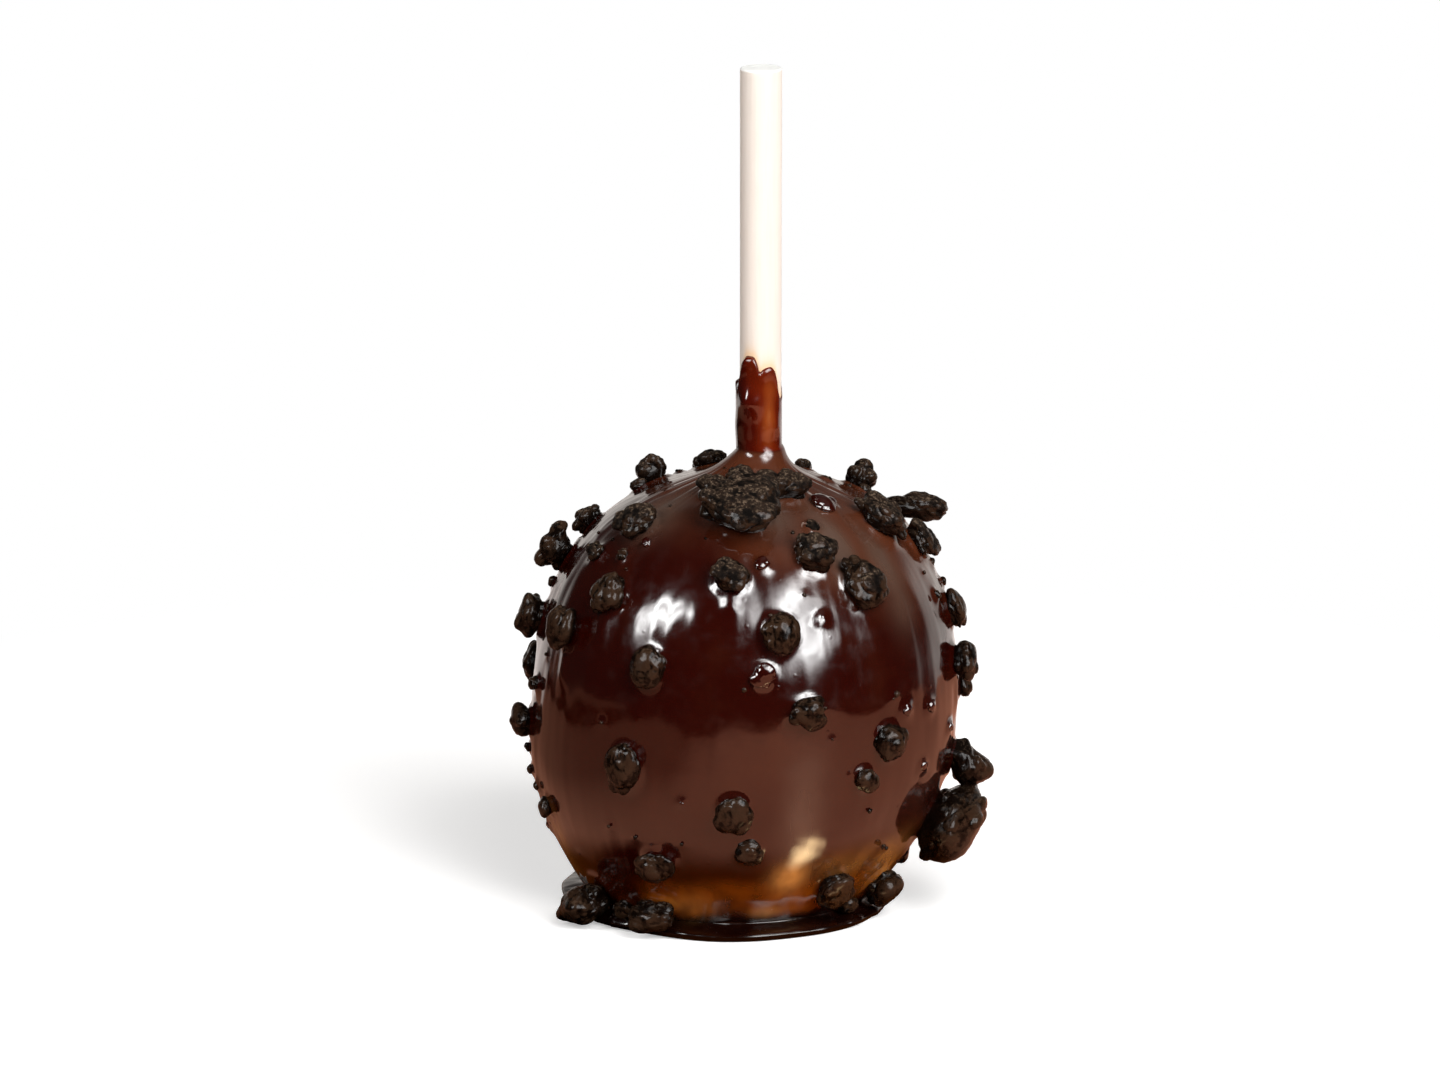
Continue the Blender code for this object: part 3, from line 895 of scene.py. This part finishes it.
# Each lump lifts the glaze round it: a plateau under it that falls off as exp(-distance^1.4)
# outside its oval edge, twice over where two overlap.
def creep(points, lift, seat, share):
    middle = glazeSurface(seat["course"], seat["azimuth"])
    reach = 3.0 * seat["halfWidth"] + 5.0 * mm
    near = np.flatnonzero(np.linalg.norm(points - middle, axis=1) < reach)
    across, along, _ = surfaceAxes(glazeSurface, seat["course"], seat["azimuth"])
    offset = points[near] - middle
    sideways, upward = offset @ across, offset @ along - seat["lengthShift"]
    overhang = glaze["overhangLarge" if seat["halfWidth"] > glaze["overhangFrom"] else "overhang"]
    oval = np.hypot(sideways / seat["halfWidth"], upward / seat["halfLength"]) / overhang
    outside = np.clip(oval - 0.84, 0.0, None) * 0.5 * (seat["halfWidth"] + seat["halfLength"])
    sag = np.clip(-upward / seat["halfLength"], 0.0, 1.0)
    width = glaze["rimWidth"] * (1.0 + (glaze["sagWidth"] - 1.0) * sag)
    plateau = share * np.exp(-((outside / width) ** 1.4))
    lift[near] = 1.0 - (1.0 - lift[near]) * (1.0 - np.clip(plateau, 0.0, 0.98))


# A run below a piece: a ridge that starts at its lower edge and dies away.
def tail(points, relief, seat, length):
    middle = glazeSurface(seat["course"], seat["azimuth"])
    across, along, out = surfaceAxes(glazeSurface, seat["course"], seat["azimuth"])
    offset = points - middle
    sideways, down = offset @ across, -(offset @ along) - seat["halfLength"]
    ridge = np.exp(-((sideways / glaze["tailWidth"]) ** 2)) * smoothStep(down, -1.0 * mm, 1.0 * mm)
    ridge *= 1.0 - smoothStep(down, 0.4 * length, length)
    relief += glaze["tailHeight"] * ridge * (offset @ out > -6.0 * mm)


# Degrees round the ball from a middle, from -180 to 180.
def degreesFrom(azimuth, middle):
    return (np.degrees(azimuth) - middle + 180.0) % 360.0 - 180.0


# Height of the glaze's upper edge on the stick: the tallest of its runs, each exp(-angle^4).
def sleeveRim(azimuth):
    rise = np.zeros_like(azimuth)
    for middle, halfWidth, height in sleeve["runs"]:
        away = np.abs(degreesFrom(azimuth, middle)) / halfWidth
        rise = np.maximum(rise, height * np.exp(-(away ** sleeve["runPower"])))
    return sleeve["top"] + rise


# Bell-shaped patches on the glaze, made uneven by a noise.
def patchShares(rows, azimuth, height, noise):
    share = np.zeros_like(height)
    for middle, halfWidth, place, halfLength, strength in rows:
        away = (degreesFrom(azimuth, middle) / halfWidth) ** 2 + ((height - place) / halfLength) ** 2
        share = np.maximum(share, strength * np.exp(-away) * (0.5 + noise))
    return np.clip(share, 0.0, 1.0)


# The glaze's relief on the ball: noises of four sizes, rims round what is stuck in it, and runs.
def glazeRelief(points, course, azimuth):
    relief = glaze["broadWobble"] * layeredNoise(points, glaze["broadSize"], 3, 2)
    drawn = points * np.array([1.0, 1.0, 0.28])
    relief += glaze["runWobble"] * layeredNoise(drawn, glaze["runSize"], 21, 2)
    threads = np.stack([np.sin(azimuth), np.cos(azimuth), 0.0 * azimuth], -1) * ball["bellyRadius"]
    threads[:, 2] = 0.08 * np.interp(course, stepCourses, stepWalk)
    relief += glaze["threadWobble"] * layeredNoise(threads, glaze["threadSize"], 27, 2)
    nearPool = 1.0 - smoothStep(points[:, 2], 2.0 * mm, 5.0 * mm)
    wobble = layeredNoise(points, glaze["poolWobbleSize"], 33, 2)
    relief += glaze["poolWobble"] * nearPool * wobble
    lift = np.zeros(len(points))
    stuck = dict(
        cookie=[*cookieSeats.values(), *drySeats], drowned=drownedSeats, speck=speckSeats
    )
    for kind, seats in stuck.items():
        for seat in seats:
            creep(points, lift, seat, glaze["rimShares"][kind])
    relief += glaze["rimHeight"] * lift
    for number, seat in enumerate(cookieSeats.values()):
        if number % glaze["tailEvery"] == 0 and seat["course"] < 1.8:
            tail(points, relief, seat, glaze["tailLength"] * (0.6 + 0.2 * (number % 4)))
    return relief


# Glaze on the ball: rings evenly spaced along its outline, closer at the foot, moved outwards by
# the relief, with a flat turned-in edge on the floor.
def glazeOnBall(turn):
    toFoot = np.interp(courseAt(glaze["footHeight"]), stepCourses, stepWalk)
    walks = np.concatenate([
        np.linspace(0.0, toFoot, glaze["footRings"], endpoint=False),
        np.linspace(toFoot, stepWalk[-1], glaze["rings"]),
    ])
    courses = np.interp(walks, stepWalk, stepCourses)
    course, azimuth = (grid.ravel() for grid in np.meshgrid(courses, turn, indexing="ij"))
    points = glazeSurface(course, azimuth)
    out = surfaceAxes(glazeSurface, course, azimuth)[2]
    relief = glazeRelief(points, course, azimuth)
    relief *= smoothStep(course, 0.0, 0.03) * (1.0 - smoothStep(course, 1.93, 2.0))
    points = points + out * relief[:, None]
    points[:, 2] = np.maximum(points[:, 2], 0.0)
    points[:len(turn), :2] *= 0.985
    points[:len(turn), 2] = 0.0
    return points, course, azimuth


# Glaze on the stick: rings up to its uneven rim. Its wall is thicker on one side by a cosine, with
# beads from a noise, drops as bell curves and a bead along the rim, whose top turns in.
def glazeOnStick(turn, collarHeight):
    share = (np.arange(1, glaze["sleeveRings"] + 1) / glaze["sleeveRings"])[:, None]
    circle = np.stack([np.cos(turn), np.sin(turn), 0 * turn], -1)
    rim = sleeveRim(turn) + sleeve["rimWobble"] * softNoise(circle, 0.45, 5)
    height = collarHeight + (rim - collarHeight) * share
    side = sleeve["thick"] + sleeve["thickSide"] * np.cos(turn - sleeve["sideAzimuth"])
    aside, front = np.sin(turn) * stickRadius, -np.cos(turn) * stickRadius
    around = np.stack([aside + 0 * height, front + 0 * height, 0.55 * height], -1)
    beads = layeredNoise(around.reshape(-1, 3), sleeve["beadSize"], 8, 2).reshape(height.shape)
    rimBead = sleeve["rimBead"] * np.exp(-(((share - 0.92) / 0.05) ** 2))
    wall = side + sleeve["beadHeight"] * beads + rimBead
    for middle, place, size, proud in sleeve["drips"]:
        away = (degreesFrom(turn, middle) / sleeve["dripWidth"]) ** 2 + ((height - place) / size) ** 2
        wall = wall + proud * np.exp(-away)
    collar = ball["collarRadius"] - stickRadius
    wall = collar + (wall - collar) * smoothStep(share, 0.0, 0.10)
    wall = np.maximum(wall, 0.05 * mm) - sleeve["tuck"] * smoothStep(share, 0.965, 1.0)
    points = ringPoints(stickX, stickRadius + wall, height, turn + 0 * height)
    return points.reshape(-1, 3), share, height, rim, beads


# How deep the glaze looks on the stick: more on the left, less near the rim, and less in one patch of
# painted light.
def sleeveDepth(turn, height, beads):
    middle, halfWidth, place, halfLength, strength = sleeve["paintedLightPatch"]
    thin = np.exp(-((degreesFrom(turn, middle) / halfWidth) ** 2))
    thin = thin * np.exp(-(((height - place) / halfLength) ** 2))
    leftward = smoothStep(-degreesFrom(turn, 0.0), *sleeve["leftFrom"])
    depth = sleeve["looksDeep"] + sleeve["looksDeepLeft"] * leftward - strength * thin
    depth += sleeve["looksDeepBeads"] * beads
    depth -= sleeve["looksThinAbove"] * smoothStep(height, *sleeve["rimHeights"])
    return depth.ravel()


# Amber near the foot, partly a painted warm reflection: a band that comes in and goes again with
# height, between two azimuths.
def amberAt(azimuth, low, patch):
    first, last = glaze["amberSpan"]
    inSpan = smoothStep(degreesFrom(azimuth, first), -8.0, 6.0)
    inSpan = inSpan * smoothStep(degreesFrom(azimuth, last), 10.0, -10.0)
    inSpan = glaze["amberBeyond"] + (1.0 - glaze["amberBeyond"]) * inSpan
    amber = smoothStep(low, *glaze["amberIn"]) * (1.0 - smoothStep(low, *glaze["amberOut"])) * inSpan
    return np.clip(0.75 * amber + 0.35 * amber * patch, 0.0, 1.0)


# The whole glaze as one closed piece, with the marks that its material reads at every point.
def makeGlaze():
    columns = glaze["columns"]
    turn = 2.0 * np.pi * np.arange(columns) / columns
    points, course, azimuth = glazeOnBall(turn)
    sleevePoints, share, height, rim, beads = glazeOnStick(turn, points[-columns:, 2])
    grid = np.concatenate([points, sleevePoints]).reshape(-1, columns, 3)
    ends = np.array([[0.0, 0.0, 0.0], [stickX, 0.0, rim.mean()]])
    none = np.zeros(len(sleevePoints) + 2)
    heights = points[:, 2]
    patch = 0.5 + 0.5 * layeredNoise(points, 7.0 * mm, 15, 3)

    body = toffee["body"]
    inPool = 1.0 - smoothStep(heights, *glaze["poolDeep"])
    depth = body + (toffee["rampDepth"] - body) * inPool
    low = heights + 1.5 * mm * (patch - 0.5)
    # Height tilted towards the right, for the painted sheen on the crown.
    tilted = heights + glaze["crownTilt"] * points[:, 0] + 2.5 * mm * (patch - 0.5)
    paintedGoldLight = patchShares(glaze["paintedGoldLight"], azimuth, heights, patch)
    dull = 1.0 - smoothStep(heights, *glaze["poolDull"]) + 0.75 * smoothStep(course, 1.90, 1.97)
    dullRim = np.maximum(0.75 - smoothStep(share, 0.06, 0.16), 0.9 * smoothStep(share, 0.86, 0.93))
    dullRim = np.maximum(np.repeat(dullRim, columns), 0.0)
    onSleeve = np.repeat(smoothStep(share, 0, 0.14), columns)
    marks = {
        "pooled": [dull, dullRim, [0, 0]],
        "depth": [depth, sleeveDepth(turn, height, beads), [body, body]],
        "amber": [amberAt(azimuth, low, patch), none],
        "cloudAndCrownSheen": [smoothStep(tilted, glaze["crownFrom"], glaze["crownFull"]), none],
        "paintedSheen": [patchShares(glaze["paintedSheen"], azimuth, heights, patch), none],
        "paintedGoldLight": [paintedGoldLight * smoothStep(low, 1.9 * mm, 2.6 * mm), none],
        "seeThrough": [np.zeros(len(points)), onSleeve, [0, 0]],
    }
    piece = makePiece("toffeeGlaze", [(grid, ends)], glazeMaterial, marks)
    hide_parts("glazed_ball")


makeGlaze()


stick = dict(
    columns=96,
    rings=150,
    edge=0.35 * mm,
    edgeRings=6,
    endRings=14,
    grooveDepth=0.05 * mm,  # of the roll's edges, on its cut ends
    grooveSize=0.16 * mm,
    dent=0.025 * mm,
    dentSize=2.6 * mm,
    seam=0.05 * mm,
    seamAzimuth=2.2,  # radians
    seamWidth=0.05,
    stain=0.75,  # how strongly the glaze has stained it, and how high above its rim
    stainHeight=0.9 * mm,
    stainBelow=90.0 * mm,
    cutMark=(0.35 * mm, 0.15 * mm),  # this near its ends it starts to look cut, and does so fully
)


# A tube whose ends turn in by a quarter circle, then flat end faces with grooves of the roll.
# Dents are a noise drawn out along it, the seam an upright bell-shaped groove.
def makeStick():
    edge = stick["edge"]
    turn = 2.0 * np.pi * np.arange(stick["columns"]) / stick["columns"]
    arc = 0.5 * np.pi * np.arange(stick["edgeRings"] + 1) / stick["edgeRings"]
    inner = np.linspace(stickRadius - edge, 0.05 * stickRadius, stick["endRings"])[1:]
    radius = np.concatenate([stickRadius - edge * (1 - np.cos(arc)), inner])
    groove = stick["grooveDepth"] * (np.sin(inner / stick["grooveSize"]) > 0.2)
    drop = np.concatenate([edge * (1 - np.sin(arc)), groove])
    side = np.linspace(stickLow.z + edge, stickTop - edge, stick["rings"])[1:-1]
    height = np.concatenate([(stickLow.z + drop)[::-1], side, stickTop - drop])
    rings = np.concatenate([radius[::-1], np.full(len(side), stickRadius), radius])
    heights, azimuth = np.meshgrid(height, turn, indexing="ij")
    reach = rings[:, None] + 0 * azimuth
    spot = np.stack([np.sin(azimuth) * 3 * mm, np.cos(azimuth) * 3 * mm, 0.3 * heights], -1)
    dents = layeredNoise(spot.reshape(-1, 3), stick["dentSize"], 30, 2).reshape(reach.shape)
    fromSeam = (azimuth - stick["seamAzimuth"] + np.pi) % (2 * np.pi) - np.pi
    seam = stick["seam"] * np.exp(-((fromSeam / stick["seamWidth"]) ** 2))
    shape = stick["dent"] * dents - seam
    reach = reach + shape * (reach > 0.8 * stickRadius) - stick["dent"] * 0.5
    grid = ringPoints(stickX, reach, heights, azimuth)
    ends = np.array([[stickX, 0.0, height[0]], [stickX, 0.0, height[-1]]])
    above = np.clip(heights - sleeveRim(azimuth), 0, None)
    stain = stick["stain"] * np.exp(-above / stick["stainHeight"]) * (heights < stick["stainBelow"])
    fromMiddle = np.abs(heights - 0.5 * (stickTop + stickLow.z))
    halfLength = 0.5 * (stickTop - stickLow.z)
    cutEnd = smoothStep(fromMiddle, *(halfLength - np.array(stick["cutMark"])))
    marks = {"stain": [stain.ravel(), [0, 0]], "cutEnd": [cutEnd.ravel(), [1, 1]]}
    piece = makePiece("paperStick", [(grid, ends)], paperMaterial, marks)
    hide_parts("paper_stick")


makeStick()


studio = dict(
    # the table's corners: beyond them the glaze sees the dark room
    floorCorners=(
        (-0.34, 0.60), (-0.34, -0.12), (-0.14, -0.19), (-0.085, -0.160), (-0.03, -0.215),
        (0.10, -0.205), (0.205, -0.195), (0.205, 0.60),
    ),
    floorLevel=-0.02 * mm,
    floorColour=(0.84, 0.83, 0.82),
    floorFade=(0.10, 0.19),  # how far from the foot it gives way to the plain background
    floorLift=0.42,
    # how pale the floor is to everything but the camera: by the foot, where it is darkened as painted
    # shadow of the ball, round it, behind it
    floorByFoot=(0.12, 0.030, 0.003),
    floorFootEdge=(0.029, 0.040),
    floorInGlaze=(0.57, 0.235, 0.145),
    floorBehind=(0.90, 0.80, 0.76),
    floorBehindFrom=(0.03, 0.07),  # behind is a wedge that opens backwards: its edge and slope
    floorBehindSlope=-0.7,
    # where it is darker: from and to along X, and how much
    floorLeft=(-0.085, -0.02, 0.62, 0.0),
    floorRight=(0.05, 0.18, 0.0, 0.22),
    floorStripe=(-0.235, 0.030),  # a dark gap in it on the left: middle and half width
    floorStripeFade=1.6,
    # a dark spot: place, inner and outer radius
    floorShade=(-21.0 * mm, -20.0 * mm, 6.0 * mm, 13.0 * mm),
    # bright spots that only the glaze shows: place, size, strength
    floorGlints=(
        (15.5 * mm, -28.0 * mm, 3.4 * mm, 4.0), (18.5 * mm, -30.0 * mm, 5.0 * mm, 9.0),
        (23.0 * mm, -32.5 * mm, 4.5 * mm, 7.0), (-20.0 * mm, 32.0 * mm, 4.0 * mm, 5.0),
    ),
    glintColour=(1.0, 0.70, 0.36),
    # the room: the plain background, then what the glaze sees behind it, overhead and in front
    background=1.0,
    backdrop=0.62,
    backdropFrom=(0.56, 0.76),
    backdropSlant=0.18,
    backdropScattered=0.35,  # how much of it soft light still finds in front
    backdropTop=(0.05, 0.45),
    overhead=0.055,
    overheadFrom=(0.60, 0.97),
    overheadAcross=(-0.35, 0.6, 0.15, 3.0),  # brighter on the right
    dark=0.014,
    roomColour=(1.0, 0.93, 0.87),
    # area lights: azimuth and elevation seen from the ball, distance, width, height, power, turn
    boxes=dict(
        leftBox=(-57.8, 33.6, 0.95, 0.33, 0.66, 5.2, -40.0),
        rightBox=(35.0, 33.8, 1.0, 1.10, 0.86, 17.5, -58.0),
    ),
    boxPeak=2.2,  # how much brighter a box is in the middle than on average
    boxEdge=(0.22, 0.5),
    boxCloth=5.0,
    aim=(0.0, 0.0, 45.0 * mm),
)


# What the glaze sees of the floor: pale behind, warm round the foot with painted shadow right by it,
# darker in places.
def floorForGlaze(nodes, place, split):
    black = colour(0.0, 0.0, 0.0)
    near = nodes.between(nodes.distance(place, (0.0, 0.0, 0.0)), *studio["floorFootEdge"])
    shade = nodes.mix(near, colour(*studio["floorByFoot"]), colour(*studio["floorInGlaze"]))
    left = nodes.between(split.outputs["X"], *studio["floorLeft"])
    right = nodes.between(split.outputs["X"], *studio["floorRight"])
    middle, halfWidth = studio["floorStripe"]
    toStripe = nodes.math("ABSOLUTE", nodes.math("SUBTRACT", split.outputs["X"], middle))
    outer = studio["floorStripeFade"] * halfWidth
    stripe = nodes.between(toStripe, halfWidth, outer, 1.0, 0.0)
    x, y, inner, outer = studio["floorShade"]
    toSpot = nodes.distance(place, (x, y, studio["floorLevel"]))
    spot = nodes.between(toSpot, inner, outer, 1.0, 0.0)
    dimmed = nodes.math("MAXIMUM", left, right)
    dimmed = nodes.math("MAXIMUM", dimmed, nodes.math("MAXIMUM", stripe, spot))
    shade = nodes.mix(dimmed, shade, black)
    aside = nodes.math("ABSOLUTE", split.outputs["X"])
    slope = studio["floorBehindSlope"]
    wedge = nodes.math("MULTIPLY_ADD", aside, slope, split.outputs["Y"])
    behind = nodes.between(wedge, *studio["floorBehindFrom"])
    return nodes.mix(behind, shade, colour(*studio["floorBehind"]))


# The floor: pale and lifted to white for the camera, darker for what it lights and shows in.
def makeFloor():
    level = studio["floorLevel"]
    mesh = bpy.data.meshes.new("floor")
    corners = studio["floorCorners"]
    mesh.from_pydata([(x, y, level) for x, y in corners], [], [tuple(range(len(corners)))])
    material, nodes, shader = newMaterial("paleFloor")
    seen = nodes.add("LightPath").outputs["Is Camera Ray"]
    place = nodes.add("TexCoord").outputs["Object"]
    split = nodes.add("SeparateXYZ", Vector=place)
    fade = nodes.between(nodes.distance(place, (0.0, 0.0, 0.0)), *studio["floorFade"])
    pale = nodes.mix(fade, colour(*studio["floorColour"]), colour(0.0, 0.0, 0.0))
    shade = floorForGlaze(nodes, place, split)
    nodes.put(shader, "Base Color", nodes.mix(seen, shade, pale))
    glints = 0.0
    for x, y, size, strength in studio["floorGlints"]:
        away = nodes.distance(place, (x, y, level))
        glints = nodes.plus(glints, nodes.between(away, 0.0, size, strength, 0.0))
    lift = nodes.masked(fade, studio["floorLift"], studio["background"])
    shown = nodes.times(nodes.math("SUBTRACT", 1.0, seen), glints)
    nodes.put(shader, "Emission Strength", nodes.plus(nodes.times(seen, lift), shown))
    white = colour(1.0, 1.0, 1.0)
    nodes.put(shader, "Emission Color", nodes.mix(seen, colour(*studio["glintColour"]), white))
    shader.inputs["Roughness"].default_value = 0.9
    shader.inputs["Specular IOR Level"].default_value = 0.0
    mesh.materials.append(material)
    floor = bpy.data.objects.new("floor", mesh)
    bpy.context.scene.collection.objects.link(floor)


# A softbox fades towards its edges: the product of a smooth step in from each of the four, and of
# a noise for its cloth.
def softenBox(lamp):
    lamp.use_nodes = True
    nodes = Nodes(lamp.node_tree)
    across = nodes.add("NewGeometry").outputs["Parametric"]
    place = nodes.add("SeparateXYZ", Vector=across)
    strength = studio["boxPeak"]
    for axis in ("X", "Y"):
        away = nodes.math("ABSOLUTE", nodes.math("SUBTRACT", place.outputs[axis], 0.5))
        strength = nodes.times(strength, nodes.between(away, *studio["boxEdge"], 1.0, 0.0))
    cloth = nodes.noise(across, studio["boxCloth"])
    strength = nodes.times(strength, nodes.between(cloth, 0.3, 0.65, 0.35, 1.15))
    nodes.put(lamp.node_tree.nodes["Emission"], "Strength", strength)


# Area lights round the ball: each is placed by two angles, faces the aim and is turned about it.
def makeLights():
    aim = Vector(studio["aim"])
    for name, (azimuth, elevation, away, width, height, power, turn) in studio["boxes"].items():
        a, e = math.radians(azimuth), math.radians(elevation)
        toward = Vector((math.sin(a) * math.cos(e), -math.cos(a) * math.cos(e), math.sin(e)))
        lamp = bpy.data.lights.new(name, "AREA")
        lamp.shape = "RECTANGLE"
        lamp.size, lamp.size_y = width, height
        lamp.energy = power
        softenBox(lamp)
        box = bpy.data.objects.new(name, lamp)
        box.location = aim + toward * away
        box.rotation_euler = toward.to_track_quat("Z", "Y").to_euler()
        box.rotation_euler.rotate_axis("Z", math.radians(turn))
        bpy.context.scene.collection.objects.link(box)


# The surroundings that the glaze reflects: bright and low behind it, dim overhead, dark in front.
def makeSurroundings():
    world = bpy.data.worlds.new("studio")
    bpy.context.scene.world = world
    world.use_nodes = True
    nodes = Nodes(world.node_tree)
    world.node_tree.nodes.clear()
    toward = nodes.add("TexCoord").outputs["Generated"]
    split = nodes.add("SeparateXYZ", Vector=toward)
    x, y, z = (split.outputs[axis] for axis in "XYZ")
    slanted = nodes.math("MULTIPLY_ADD", x, studio["backdropSlant"], y)
    behind = nodes.between(slanted, *studio["backdropFrom"])
    scattered = nodes.add("LightPath").outputs["Is Diffuse Ray"]
    scattered = nodes.times(scattered, studio["backdropScattered"])
    behind = nodes.math("MAXIMUM", behind, scattered)
    raised = nodes.between(z, *studio["backdropTop"])
    glow = nodes.times(nodes.masked(raised, studio["backdrop"], studio["overhead"]), behind)
    top = nodes.between(z, *studio["overheadFrom"], 0.0, studio["overhead"])
    top = nodes.times(top, nodes.between(x, *studio["overheadAcross"]))
    strength = nodes.plus(nodes.math("MAXIMUM", glow, top), studio["dark"])
    room = nodes.add("Background", Color=colour(*studio["roomColour"]), Strength=strength)
    plain = nodes.add("Background", Color=colour(1.0, 1.0, 1.0), Strength=studio["background"])
    seen = nodes.add("LightPath").outputs["Is Camera Ray"]
    both = nodes.add("MixShader", i0=seen, i1=room.outputs[0], i2=plain.outputs[0])
    nodes.add("OutputWorld", Surface=both.outputs[0])


# A long lens from the front, a little above: its axis looks down at `pitch` and passes the ball.
camera = dict(
    lens=234.67, sensor=36.0, place=(-1.37 * mm, -1.30, 0.3703), pitch=13.725, clip=(0.05, 20.0)
)


def makeCamera():
    data = bpy.data.cameras.new("camera")
    data.lens = camera["lens"]
    data.sensor_width = camera["sensor"]
    data.clip_start, data.clip_end = camera["clip"]
    holder = bpy.data.objects.new("camera", data)
    holder.location = camera["place"]
    holder.rotation_euler = (math.radians(90.0 - camera["pitch"]), 0.0, 0.0)
    bpy.context.scene.collection.objects.link(holder)
    bpy.context.scene.camera = holder


makeFloor()
makeLights()
makeSurroundings()
makeCamera()
bpy.context.scene.view_settings.view_transform = "Standard"
print("studio made")

bpy.context.view_layer.update()
